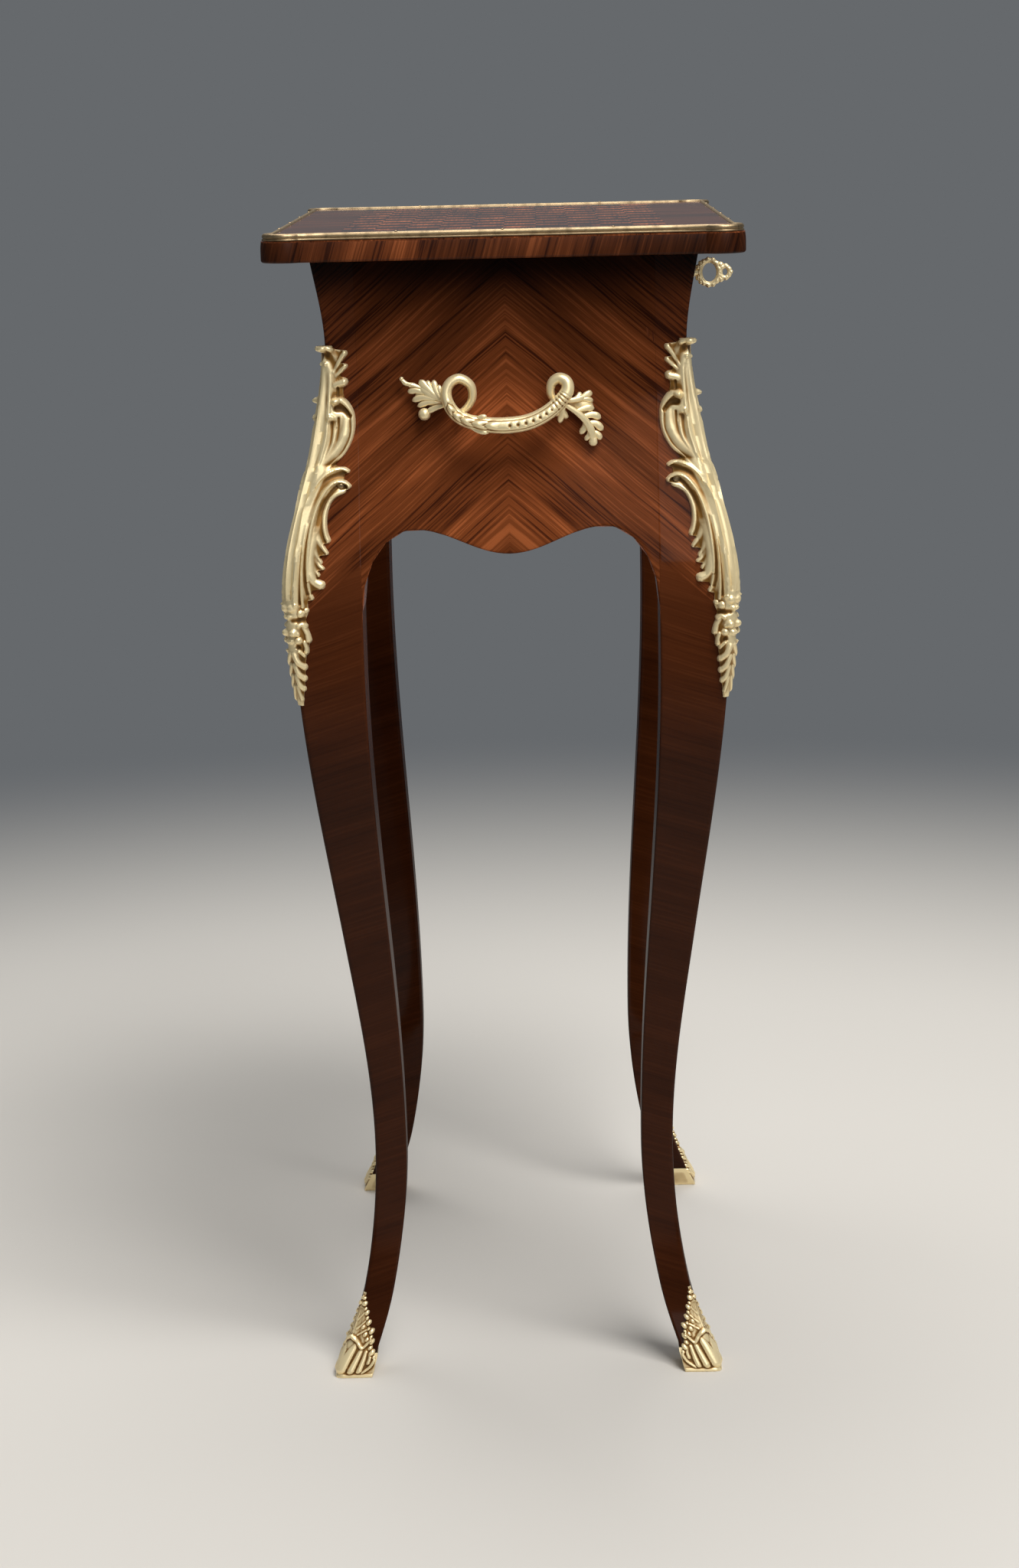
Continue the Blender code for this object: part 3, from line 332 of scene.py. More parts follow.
def finish(name, form, material, body, nodes=(), crease=35):
    """Makes the form a piece that rides on its body and stands for the frame's nodes."""
    mesh = bpy.data.meshes.new(name)
    form.to_mesh(mesh)
    form.free()
    mesh.shade_smooth()
    mesh.set_sharp_from_angle(angle=math.radians(crease))
    mesh.materials.append(material)
    piece = bpy.data.objects.new(name, mesh)
    bpy.context.scene.collection.objects.link(piece)
    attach(piece, body)
    if nodes:
        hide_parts(*nodes)
    return piece


def refinish(material, *nodes):
    """Gives the frame's own nodes a finish."""
    for name in nodes:
        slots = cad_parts[name].data.materials
        slots.clear()
        slots.append(material)


# Finishes

def node(tree, kind, sockets=(), **settings):
    """Adds a node with its settings; a socket's value is a number, a colour or another node's output."""
    made = tree.nodes.new(kind)
    for key, value in settings.items():
        setattr(made, key, value)
    for key, value in dict(sockets).items():
        if isinstance(value, bpy.types.NodeSocket):
            tree.links.new(value, made.inputs[key])
        else:
            made.inputs[key].default_value = value
    return made


def new_finish(name):
    """A material made once, its shader and its node tree."""
    material = bpy.data.materials.new(name)
    material.use_nodes = True
    return material, material.node_tree.nodes["Principled BSDF"], material.node_tree


def ramp(tree, factor, *stops):
    """A colour ramp through (position, colour) stops."""
    made = node(tree, "ShaderNodeValToRGB", {0: factor})
    elements = made.color_ramp.elements
    while len(elements) < len(stops):
        elements.new(0.5)
    for element, (position, colour) in zip(elements, stops):
        element.position = position
        element.color = (*colour, 1)
    return made.outputs[0]


def polish(shader, roughness, film=0.5, haze=0.07):
    """French polish: a clear glossy film over the wood, so highlights are sharp on a soft ground."""
    shader.inputs["Roughness"].default_value = roughness
    # The wood is wetted by the film, so only the film's own face throws a reflection.
    shader.inputs["Specular IOR Level"].default_value = 0.0
    shader.inputs["Coat Weight"].default_value = film
    shader.inputs["Coat Roughness"].default_value = haze
    shader.inputs["Coat IOR"].default_value = 1.48


def figure(tree, shader, lay, colours, shade=None, calm=None):
    """Kingwood's figure across a lay whose x runs with the grain, in metres; shade is a factor on its colour, and calm
    the share by which the figure fades into the ground."""
    dark, mid, light = colours
    # The ground wanders slowly, so the lines drift a little as they run.
    drift = node(tree, "ShaderNodeTexNoise", {"Vector": lay, "Scale": 10, "Detail": 1}, noise_dimensions="2D")
    shift = node(tree, "ShaderNodeVectorMath", {0: drift.outputs["Color"], 1: (0.0, 0.003, 0.0)}, operation="MULTIPLY")
    bent = node(tree, "ShaderNodeVectorMath", {0: lay, 1: shift.outputs[0]})
    # Pencil lines 1.5 mm apart and up to 80 mm long, with finer ones between.
    lines = node(tree, "ShaderNodeMapping", {0: bent.outputs[0], "Scale": (13, 640, 1)})
    fine = node(
        tree, "ShaderNodeTexNoise", {"Vector": lines.outputs[0], "Scale": 1, "Detail": 5, "Roughness": 0.6},
        noise_dimensions="2D",
    )
    # Broad bands of heartwood about 15 mm wide.
    bands = node(tree, "ShaderNodeMapping", {0: bent.outputs[0], "Scale": (8, 65, 1)})
    broad = node(tree, "ShaderNodeTexNoise", {"Vector": bands.outputs[0], "Scale": 1, "Detail": 2}, noise_dimensions="2D")
    tone = node(
        tree, "ShaderNodeMath", {0: broad.outputs["Fac"], 1: 0.75, 2: fine.outputs["Fac"]}, operation="MULTIPLY_ADD"
    )
    # The tone runs from about 0.55 to 1.2; it is brought to 0 to 1 for the ramp.
    span = node(tree, "ShaderNodeMapRange", {0: tone.outputs[0], 1: 0.55, 2: 1.2})
    colour = ramp(tree, span.outputs[0], (0.14, dark), (0.42, mid), (0.56, mid), (0.88, light))
    # Whole streaks about 40 mm wide run darker and lighter.
    leaves = node(tree, "ShaderNodeMapping", {0: lay, "Location": (0.0, 8.3, 0.0), "Scale": (5, 26, 1)})
    slow = node(tree, "ShaderNodeTexNoise", {"Vector": leaves.outputs[0], "Scale": 1, "Detail": 1}, noise_dimensions="2D")
    cast = node(tree, "ShaderNodeMapRange", {0: slow.outputs["Fac"], 1: 0.3, 2: 0.7, 3: 0.70, 4: 1.22})
    strength = cast.outputs[0]
    if calm is not None:
        colour = node(tree, "ShaderNodeMix", {0: calm, 6: colour, 7: (*mid, 1)}, data_type="RGBA").outputs[2]
        strength = node(tree, "ShaderNodeMix", {0: calm, 2: strength, 3: 1.0}).outputs[0]
    if shade is not None:
        strength = node(tree, "ShaderNodeMath", {0: strength, 1: shade}, operation="MULTIPLY").outputs[0]
    grey = node(tree, "ShaderNodeVectorMath", {0: colour, 3: strength}, operation="SCALE")
    tree.links.new(grey.outputs[0], shader.inputs["Base Color"])
    # Open pores, 0.3 mm in the wood and drawn 1 mm wide so that they show.
    bump = node(tree, "ShaderNodeBump", {"Strength": 0.10, "Distance": 0.0003, "Height": fine.outputs["Fac"]})
    tree.links.new(bump.outputs[0], shader.inputs["Normal"])


def wood_colours():
    look = bpy.context.scene.work_table_finishes
    return [list(c) for c in (look.wood_dark, look.wood_mid, look.wood_light)]


def painted_lid_shadow(tree):
    """Painted shadow of the lid: the last 40 mm of the case under it are drawn darker."""
    place = node(tree, "ShaderNodeTexCoord")
    level = node(tree, "ShaderNodeSeparateXYZ", {0: place.outputs["Object"]})
    under_lid_shade = node(
        tree, "ShaderNodeMapRange", {0: level.outputs[2], 1: CASE_TOP - 0.044, 2: CASE_TOP - 0.005, 3: 1.0, 4: 0.09},
        interpolation_type="SMOOTHSTEP",
    )
    # The painted shadow leaves out faces that look up, such as the legs' end grain under the lid.
    facing = node(tree, "ShaderNodeSeparateXYZ", {0: place.outputs["Normal"]})
    top = node(tree, "ShaderNodeMath", {0: facing.outputs[2], 1: 0.7}, operation="GREATER_THAN")
    return node(tree, "ShaderNodeMath", {0: under_lid_shade.outputs[0], 1: top.outputs[0]}, operation="MAXIMUM").outputs[0]


def kingwood_panel():
    """Sawn kingwood veneer, book-matched about the middle of each side."""
    look = bpy.context.scene.work_table_finishes
    material, shader, tree = new_finish("kingwood_veneer_panel")
    place = node(tree, "ShaderNodeUVMap", uv_map="veneer")
    lay = node(tree, "ShaderNodeVectorRotate", {"Vector": place.outputs[0], "Angle": look.panel_slant}, rotation_type="Z_AXIS")
    # The top of each case face is darkened under the lid by painted shadow.
    figure(tree, shader, lay.outputs[0], wood_colours(), painted_lid_shadow(tree))
    polish(shader, 0.35, 0.1)
    return material


def kingwood_leg():
    """The same veneer over the knee, then cross-laid strips down the leg below a slanting joint."""
    look = bpy.context.scene.work_table_finishes
    material, shader, tree = new_finish("kingwood_veneer_leg")
    place = node(tree, "ShaderNodeUVMap", uv_map="veneer")
    knee = node(tree, "ShaderNodeVectorRotate", {"Vector": place.outputs[0], "Angle": look.panel_slant}, rotation_type="Z_AXIS")
    shin = node(tree, "ShaderNodeVectorRotate", {"Vector": place.outputs[0], "Angle": look.leg_slant}, rotation_type="Z_AXIS")
    across = node(tree, "ShaderNodeSeparateXYZ", {0: knee.outputs[0]})
    below = node(tree, "ShaderNodeMath", {0: across.outputs[1], 1: 0.422}, operation="LESS_THAN")
    lay = node(tree, "ShaderNodeMix", {0: below.outputs[0], 4: knee.outputs[0], 5: shin.outputs[0]}, data_type="VECTOR")
    # The strips down the leg are darker wood, darker still towards the shin.
    level = node(tree, "ShaderNodeSeparateXYZ", {0: place.outputs[0]})
    shin_tone = node(tree, "ShaderNodeMapRange", {0: level.outputs[1], 1: 0.42, 2: 0.545, 3: 0.24, 4: 0.63})
    shade = node(tree, "ShaderNodeMix", {0: below.outputs[0], 2: 1.0, 3: shin_tone.outputs[0]})
    # The tops of the legs are darkened under the lid by painted shadow.
    lid_shaded = node(tree, "ShaderNodeMath", {0: shade.outputs[0], 1: painted_lid_shadow(tree)}, operation="MULTIPLY")
    calm = node(tree, "ShaderNodeMath", {0: below.outputs[0], 1: 0.65}, operation="MULTIPLY")
    figure(tree, shader, lay.outputs[1], wood_colours(), lid_shaded.outputs[0], calm.outputs[0])
    # Legs are rubbed thin by dusting, so the film is worn down.
    polish(shader, 0.35, 0.2)
    return material


def kingwood_banding():
    """Cross-banded kingwood round the lid's edge, its grain standing up the edge."""
    material, shader, tree = new_finish("kingwood_cross_banding")
    place = node(tree, "ShaderNodeUVMap", uv_map="veneer")
    lay = node(tree, "ShaderNodeVectorRotate", {"Vector": place.outputs[0], "Angle": math.radians(74)}, rotation_type="Z_AXIS")
    # Flame figure in patches about 90 mm long, lighter and darker along the edge.
    patch = node(tree, "ShaderNodeTexNoise", {"Vector": place.outputs[0], "Scale": 11, "Detail": 1}, noise_dimensions="2D")
    tone = node(tree, "ShaderNodeMapRange", {0: patch.outputs["Fac"], 1: 0.35, 2: 0.65, 3: 0.45, 4: 1.05})
    # Along each side the edge is drawn darker towards the low end of its run and paler towards the high end.
    run = node(tree, "ShaderNodeSeparateXYZ", {0: place.outputs[0]})
    pale = node(tree, "ShaderNodeMapRange", {0: run.outputs[0], 1: -0.10, 2: 0.06, 3: 0.42, 4: 0.95})
    tone = node(tree, "ShaderNodeMath", {0: tone.outputs[0], 1: pale.outputs[0]}, operation="MULTIPLY")
    # The rounded ears are banded apart, in darker wood.
    spot = node(tree, "ShaderNodeTexCoord")
    size = node(tree, "ShaderNodeVectorMath", {0: spot.outputs["Object"]}, operation="ABSOLUTE")
    past = node(tree, "ShaderNodeVectorMath", {0: size.outputs[0], 1: (HALF_LENGTH - 0.0248, HALF_DEPTH - 0.0248, 0)}, operation="SUBTRACT")
    past = node(tree, "ShaderNodeSeparateXYZ", {0: past.outputs[0]})
    least = node(tree, "ShaderNodeMath", {0: past.outputs[0], 1: past.outputs[1]}, operation="MINIMUM")
    ear = node(tree, "ShaderNodeMath", {0: least.outputs[0], 1: 0.0}, operation="GREATER_THAN")
    shade = node(tree, "ShaderNodeMix", {0: ear.outputs[0], 2: tone.outputs[0], 3: 0.30})
    figure(tree, shader, lay.outputs[0], wood_colours(), shade.outputs[0])
    # Hands lift the lid by its edge, so the film there has gone hazy.
    polish(shader, 0.35, 0.25, 0.35)
    return material


def kingwood_plain():
    """Straight-laid kingwood on the carcase's inner faces and edges."""
    material, shader, tree = new_finish("kingwood_plain")
    place = node(tree, "ShaderNodeTexCoord")
    lay = node(tree, "ShaderNodeVectorRotate", {"Vector": place.outputs["Object"], "Angle": math.radians(90)}, rotation_type="Y_AXIS")
    figure(tree, shader, lay.outputs[0], wood_colours())
    polish(shader, 0.4)
    return material


def parquetry():
    """Squares of kingwood laid with the grain turned by turns, inside a cross-banded border."""
    sizes = bpy.context.scene.work_table_sizes
    material, shader, tree = new_finish("kingwood_parquetry")
    place = node(tree, "ShaderNodeTexCoord")
    axes = node(tree, "ShaderNodeSeparateXYZ", {0: place.outputs["Object"]})
    inside = BORDER_EDGE + sizes.border
    reaches = (HALF_LENGTH - inside, HALF_DEPTH - inside)
    over, cells, edges = [], [], []
    for axis, reach in enumerate(reaches):
        count = max(1, round(2 * reach / sizes.square))
        side = 2 * reach / count
        size = node(tree, "ShaderNodeMath", {0: axes.outputs[axis]}, operation="ABSOLUTE")
        over.append(node(tree, "ShaderNodeMath", {0: size.outputs[0], 1: reach}, operation="SUBTRACT"))
        run = node(tree, "ShaderNodeMath", {0: axes.outputs[axis], 1: 1 / side, 2: count / 2}, operation="MULTIPLY_ADD")
        cells.append(node(tree, "ShaderNodeMath", {0: run.outputs[0]}, operation="FLOOR"))
        edges.append(node(tree, "ShaderNodeMath", {0: run.outputs[0], 1: 0.5}, operation="PINGPONG"))
    total = node(tree, "ShaderNodeMath", {0: cells[0].outputs[0], 1: cells[1].outputs[0]})
    turn = node(tree, "ShaderNodeMath", {0: total.outputs[0], 1: 2.0}, operation="FLOORED_MODULO")
    outside = node(tree, "ShaderNodeMath", {0: over[0].outputs[0], 1: over[1].outputs[0]}, operation="MAXIMUM")
    border = node(tree, "ShaderNodeMath", {0: outside.outputs[0], 1: 0.0}, operation="GREATER_THAN")
    mitre = node(tree, "ShaderNodeMath", {0: over[1].outputs[0], 1: over[0].outputs[0]}, operation="GREATER_THAN")
    swap = node(tree, "ShaderNodeMix", {0: border.outputs[0], 2: turn.outputs[0], 3: mitre.outputs[0]})
    swapped = node(tree, "ShaderNodeCombineXYZ", {0: axes.outputs[1], 1: axes.outputs[0]})
    straight = node(tree, "ShaderNodeCombineXYZ", {0: axes.outputs[0], 1: axes.outputs[1]})
    lay = node(tree, "ShaderNodeMix", {0: swap.outputs[0], 4: straight.outputs[0], 5: swapped.outputs[0]}, data_type="VECTOR")
    # Joints between the squares, 0.1 mm in the wood and drawn 0.4 mm wide so that they show.
    near = node(tree, "ShaderNodeMath", {0: edges[0].outputs[0], 1: edges[1].outputs[0]}, operation="MINIMUM")
    joint = node(tree, "ShaderNodeMath", {0: near.outputs[0], 1: 0.012}, operation="LESS_THAN")
    field = node(tree, "ShaderNodeMath", {0: 1.0, 1: border.outputs[0]}, operation="SUBTRACT")
    line = node(tree, "ShaderNodeMath", {0: joint.outputs[0], 1: field.outputs[0]}, operation="MULTIPLY")
    tint = node(tree, "ShaderNodeMapRange", {0: turn.outputs[0], 3: 1.8, 4: 0.15})
    tone = node(tree, "ShaderNodeMix", {0: border.outputs[0], 2: tint.outputs[0], 3: 0.6})
    shade = node(tree, "ShaderNodeMath", {0: line.outputs[0], 1: -0.5, 2: tone.outputs[0]}, operation="MULTIPLY_ADD")
    figure(tree, shader, lay.outputs[1], wood_colours(), shade.outputs[0])
    polish(shader, 0.35, 0.85)
    return material


def gilt_bronze():
    """Cast bronze, chased and fire-gilt: matte pale gold, bright on the burnished crests, brown in the hollows, partly
    from toning and partly from painted shade.
    """
    look = bpy.context.scene.work_table_finishes
    material, shader, tree = new_finish("fire_gilt_bronze")
    crest = node(tree, "ShaderNodeAttribute", attribute_name="crest")
    place = node(tree, "ShaderNodeTexCoord")
    # Toning of the gilding in patches about 8 mm across.
    patch = node(tree, "ShaderNodeTexNoise", {"Vector": place.outputs["Object"], "Scale": 120, "Detail": 2})
    level = node(tree, "ShaderNodeMath", {0: patch.outputs["Fac"], 1: 0.22, 2: crest.outputs["Fac"]}, operation="MULTIPLY_ADD")
    # The hollows go brown by their depth, partly real toning and partly painted shade; the deepest recesses fall to
    # half the hollow colour as painted shade.
    middle = [0.55 * a + 0.45 * b for a, b in zip(look.bronze_crest, look.bronze_hollow)]
    deep = [0.5 * a for a in look.bronze_hollow]
    colour = ramp(
        tree, level.outputs[0], (0.12, deep), (0.40, list(look.bronze_hollow)),
        (0.60, middle), (0.80, list(look.bronze_crest)),
    )
    tree.links.new(colour, shader.inputs["Base Color"])
    # Matte gilding scatters much of the light, so it is drawn as part metal and part pale gold ground.
    shader.inputs["Metallic"].default_value = 0.5
    rough = node(tree, "ShaderNodeMapRange", {0: level.outputs[0], 1: 0.3, 2: 0.85, 3: 0.50, 4: 0.33})
    tree.links.new(rough.outputs[0], shader.inputs["Roughness"])
    # The chaser's matting, 0.3 mm punch marks drawn 0.8 mm across so that they show.
    grain = node(tree, "ShaderNodeTexNoise", {"Vector": place.outputs["Object"], "Scale": 1200, "Detail": 1})
    bump = node(tree, "ShaderNodeBump", {"Strength": 0.10, "Distance": 0.0004, "Height": grain.outputs["Fac"]})
    tree.links.new(bump.outputs[0], shader.inputs["Normal"])
    return material


def hand_polished_brass():
    """Drawn brass, hand polished: bright yellow metal with faint rub marks and a little tarnish."""
    look = bpy.context.scene.work_table_finishes
    material, shader, tree = new_finish("hand_polished_brass")
    place = node(tree, "ShaderNodeTexCoord")
    rub = node(tree, "ShaderNodeTexNoise", {"Vector": place.outputs["Object"], "Scale": 160, "Detail": 4})
    brass = list(look.brass)
    colour = ramp(tree, rub.outputs["Fac"], (0.30, [0.55 * c for c in brass]), (0.52, brass), (0.8, brass))
    tree.links.new(colour, shader.inputs["Base Color"])
    shader.inputs["Metallic"].default_value = 1.0
    rough = node(tree, "ShaderNodeMapRange", {0: rub.outputs["Fac"], 1: 0.3, 2: 0.7, 3: 0.50, 4: 0.36})
    tree.links.new(rough.outputs[0], shader.inputs["Roughness"])
    return material


def dull_steel():
    """Old filed steel: grey, with darker spots."""
    look = bpy.context.scene.work_table_finishes
    material, shader, tree = new_finish("filed_steel")
    place = node(tree, "ShaderNodeTexCoord")
    spots = node(tree, "ShaderNodeTexNoise", {"Vector": place.outputs["Object"], "Scale": 300, "Detail": 5})
    steel = list(look.steel)
    colour = ramp(tree, spots.outputs["Fac"], (0.35, [0.35 * c for c in steel]), (0.55, steel), (0.9, steel))
    tree.links.new(colour, shader.inputs["Base Color"])
    shader.inputs["Metallic"].default_value = 1.0
    shader.inputs["Roughness"].default_value = 0.42
    return material


def plain_oak():
    """Planed oak, unpolished: open straight grain with darker pores."""
    look = bpy.context.scene.work_table_finishes
    material, shader, tree = new_finish("planed_oak")
    place = node(tree, "ShaderNodeTexCoord")
    lines = node(tree, "ShaderNodeMapping", {0: place.outputs["Object"], "Scale": (12, 260, 260)})
    grain = node(tree, "ShaderNodeTexNoise", {"Vector": lines.outputs[0], "Scale": 1, "Detail": 4})
    oak = list(look.oak)
    colour = ramp(tree, grain.outputs["Fac"], (0.32, [0.45 * c for c in oak]), (0.55, oak), (0.8, [1.15 * c for c in oak]))
    tree.links.new(colour, shader.inputs["Base Color"])
    shader.inputs["Roughness"].default_value = 0.6
    bump = node(tree, "ShaderNodeBump", {"Strength": 0.2, "Distance": 0.0003, "Height": grain.outputs["Fac"]})
    tree.links.new(bump.outputs[0], shader.inputs["Normal"])
    return material


def shared(name, make):
    """A finish made once, whichever piece asks first."""
    return bpy.data.materials.get(name) or make()


# Woodwork

class WORKTABLE_OT_legs(bpy.types.Operator):
    """Four cabriole legs with a rounded outer corner and eased edges"""

    bl_idname = "worktable.legs"
    bl_label = "Legs"

    def execute(self, context):
        sizes = context.scene.work_table_sizes
        quarter = np.linspace(0, math.pi / 2, 4)
        arc = np.linspace(0, math.pi / 2, 9)
        # Each stop of the section: shares of the outer line, then of the edge and corner roundings.
        stops = []
        for turn in quarter:
            stops.append((1, 0, 1 - math.sin(turn), math.cos(turn) - 1, 0, 0))
        for turn in arc:
            stops.append((1, 1, 0, 0, 1 - math.cos(turn), 1 - math.sin(turn)))
        for turn in quarter:
            stops.append((0, 1, math.sin(turn) - 1, 1 - math.cos(turn), 0, 0))
        for turn in quarter:
            stops.append((0, 0, math.cos(turn) - 1, math.sin(turn) - 1, 0, 0))
        # Columns on the flat faces keep the shading flat up to each rounded edge.
        ends = [3, 12, 16, 20]
        section = []
        for index, stop in enumerate(stops):
            section.append(np.array(stop, float))
            if index in ends:
                after = np.array(stops[(index + 1) % len(stops)], float)
                section += [section[-1] * (1 - t) + after * t for t in (0.03, 0.1, 0.3, 0.5, 0.7, 0.9, 0.97)]
        stops = np.array([*section, section[0]])
        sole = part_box("leg_front_left")[0].z
        material = shared("kingwood_veneer_leg", kingwood_leg)
        for corner in CORNERS:
            def place(around, along, _):
                stop = stops[np.rint(around * (len(stops) - 1)).astype(int)].T
                heights = sole + (CASE_TOP - sole) * along
                out = outer(heights) - sizes.veneer
                back = inner(heights)
                edge = sizes.leg_edge * (1 - 0.97 * ease(APRON_SPRING - 0.02, APRON_SPRING + 0.004, heights))
                edge = np.maximum(edge, 0.00004)
                from_end = stop[0] * out + (1 - stop[0]) * back + edge * stop[2] + sizes.arris * stop[4]
                from_side = stop[1] * out + (1 - stop[1]) * back + edge * stop[3] + sizes.arris * stop[5]
                return on_corner(corner, from_end, from_side, heights)

            form = bmesh.new()
            tube(form, len(stops) - 1, 150, place)
            face_out(form)
            veneer_map(form)
            finish("veneered_leg_" + corner, form, material, "case", ["leg_" + corner])
        return {"FINISHED"}


def apron_edge(run, half_span):
    """Height of a panel's lower edge at distances from its middle."""
    reach = np.abs(run)
    arch = half_span - APRON_CORNER_SPAN
    wave = (1 - np.cos(math.pi * np.minimum(reach / arch, 1))) / 2
    share = np.clip((reach - arch) / APRON_CORNER_SPAN, 0, 1)
    middle = APRON_CENTRE + (APRON_ARCH - APRON_CENTRE) * wave
    return np.where(reach <= arch, middle, APRON_SPRING + (APRON_ARCH - APRON_SPRING) * np.sqrt(1 - share**2))


class WORKTABLE_OT_case_veneer(bpy.types.Operator):
    """The veneered faces of the four case sides, wrapped under their shaped lower edges"""

    bl_idname = "worktable.case_veneer"
    bl_label = "Case veneer"

    def execute(self, context):
        sizes = context.scene.work_table_sizes
        material = shared("kingwood_veneer_panel", kingwood_panel)
        for side, node_name, along_x, sign in (
            ("front", "front_panel", True, -1),
            ("back", "back_panel", True, 1),
            ("left", "left_end_panel", False, -1),
            ("right", "right_end_panel", False, 1),
        ):
            half_span = (HALF_LENGTH if along_x else HALF_DEPTH) - POST_INSET - 0.00004
            half_out = HALF_DEPTH if along_x else HALF_LENGTH

            def place(across, up, back):
                # The first tenth of the sheet is the lip under the edge, then the eased edge, then the face.
                run = half_span * np.sin((across - 0.5) * math.pi)
                bottom = apron_edge(run, half_span) - sizes.veneer
                ease_edge = 0.0010
                lip = np.clip(up / 0.1, 0, 1)
                turn = np.clip((up - 0.1) / 0.08, 0, 1) * math.pi / 2
                rise = np.clip((up - 0.18) / 0.82, 0, 1)
                heights = bottom + ease_edge * (1 - np.cos(turn)) + (CASE_TOP - bottom - ease_edge) * rise
                heights = heights + back * 0.0008 * (up < 0.14)
                face = outer(heights) - sizes.veneer
                inset = face + (1 - lip) * 0.0120 + ease_edge * (1 - np.sin(turn)) + back * 0.0008 * (up >= 0.1)
                out = sign * (half_out - inset)
                return np.stack([run, out, heights] if along_x else [out, run, heights], -1)

            form = bmesh.new()
            slab(form, 96 if along_x else 72, 60, place)
            face_out(form)
            veneer_map(form)
            finish(f"case_veneer_{side}", form, material, "case")
        refinish(shared("kingwood_plain", kingwood_plain), "front_panel", "back_panel", "left_end_panel", "right_end_panel")
        return {"FINISHED"}


# Lid

EAR_RADIUS = 0.0145
EAR_STEP = 0.004
MOULDING_SETBACK = 0.0006
MOULDING_WIDTH = 0.0034
BORDER_EDGE = 0.0079


def lid_side(side, inward, share):
    """Plan points along one side of the lid from mitre to mitre, moved inwards; share is 0 to 1."""
    radius = EAR_RADIUS - inward
    step_turn = np.arccos(np.clip((EAR_RADIUS - EAR_STEP - inward) / radius, -1, 1))
    along_x = side in ("front", "back")
    half_run = (HALF_LENGTH if along_x else HALF_DEPTH) - EAR_RADIUS
    half_out = (HALF_DEPTH if along_x else HALF_LENGTH) - EAR_RADIUS
    near = np.minimum(share, 1 - share)
    turn = math.pi / 4 + (math.pi / 4 + step_turn) * np.clip(near / 0.4, 0, 1)
    run = -half_run - radius * np.cos(turn)
    out = half_out + radius * np.sin(turn)
    run = np.where(near > 0.4, run * (0.5 - near) / 0.1, run) * np.where(share > 0.5, -1, 1)
    sign = -1 if side in ("front", "left") else 1
    return (run, sign * out) if along_x else (sign * out, run)


def lid_loop(inward, share):
    """Plan points round the whole lid; share 0 to 1 goes once round."""
    place = (share % 1) * 4
    part = np.minimum(place.astype(int), 3)
    x, y = np.zeros_like(share), np.zeros_like(share)
    for index, side in enumerate(SIDES):
        own = part == index
        at = place[own] - index
        at = 1 - at if side in ("back", "left") else at
        x[own], y[own] = lid_side(side, inward[own], at)
    return x, y


class WORKTABLE_OT_lid(bpy.types.Operator):
    """The lid's cross-banded edge and its parquetry top"""

    bl_idname = "worktable.lid"
    bl_label = "Lid"

    def execute(self, context):
        sizes = context.scene.work_table_sizes
        low, high = LID_LOW.z, LID_HIGH.z
        thick, lower, upper = 0.0030, 0.0018, 0.0008
        centre = (low + high) / 2

        def place(around, along, _):
            # A closed band: out over the eased lower edge, up the face, and back behind it.
            corner = around * 4
            leg = np.minimum(corner.astype(int), 3)
            t = corner - leg
            turn = t * math.pi / 2
            inward = np.select(
                [leg == 0, leg == 1, leg == 2],
                [thick + 0.004 * (1 - t), lower * (1 - np.sin(turn)), upper * (1 - np.cos(turn))],
                upper + (thick + 0.004 - upper) * t,
            )
            heights = np.select(
                [leg == 0, leg == 1, leg == 2],
                [low - 0.0 * t, low + lower * (1 - np.cos(turn)), centre + (high - centre) * np.sin(turn)],
                high + (low + 0.0006 - high) * t,
            )
            inward = np.where(leg == 0, lower + (thick + 0.002 - lower) * (1 - t), inward)
            inward = np.where(leg == 3, upper + (thick + 0.002 - upper) * t, inward)
            heights = np.where(leg == 0, low + 0.0006 * (1 - t) - FIT / 3, heights)
            x, y = lid_loop(inward - sizes.veneer, along)
            return np.stack([x, y, heights], -1)

        form = bmesh.new()
        tube(form, 40, 4 * 60, place, closed=True)
        face_out(form)
        veneer_map(form, mirrored=False)
        finish("lid_cross_banding", form, shared("kingwood_cross_banding", kingwood_banding), "lid", crease=30)
        strip = bmesh.new()

        def border(around, along, _):
            # The last few millimetres of the border, between the moulding and the parquetry panel.
            corner = around * 4
            inward = np.interp(corner, (0, 1, 2, 3, 4), (0.0038, 0.0038, BORDER_EDGE, BORDER_EDGE, 0.0038))
            heights = np.interp(corner, (0, 1, 2, 3, 4), (high + FIT, PARQUETRY_TOP, PARQUETRY_TOP, high + FIT, high + FIT))
            x, y = lid_loop(inward, along)
            return np.stack([x, y, heights], -1)

        tube(strip, 4, 4 * 60, border, closed=True)
        face_out(strip)
        finish("lid_border_edge", strip, shared("kingwood_parquetry", parquetry), "lid", crease=30)
        refinish(shared("kingwood_plain", kingwood_plain), "lid_slab")
        refinish(shared("kingwood_parquetry", parquetry), "lid_parquetry")
        return {"FINISHED"}


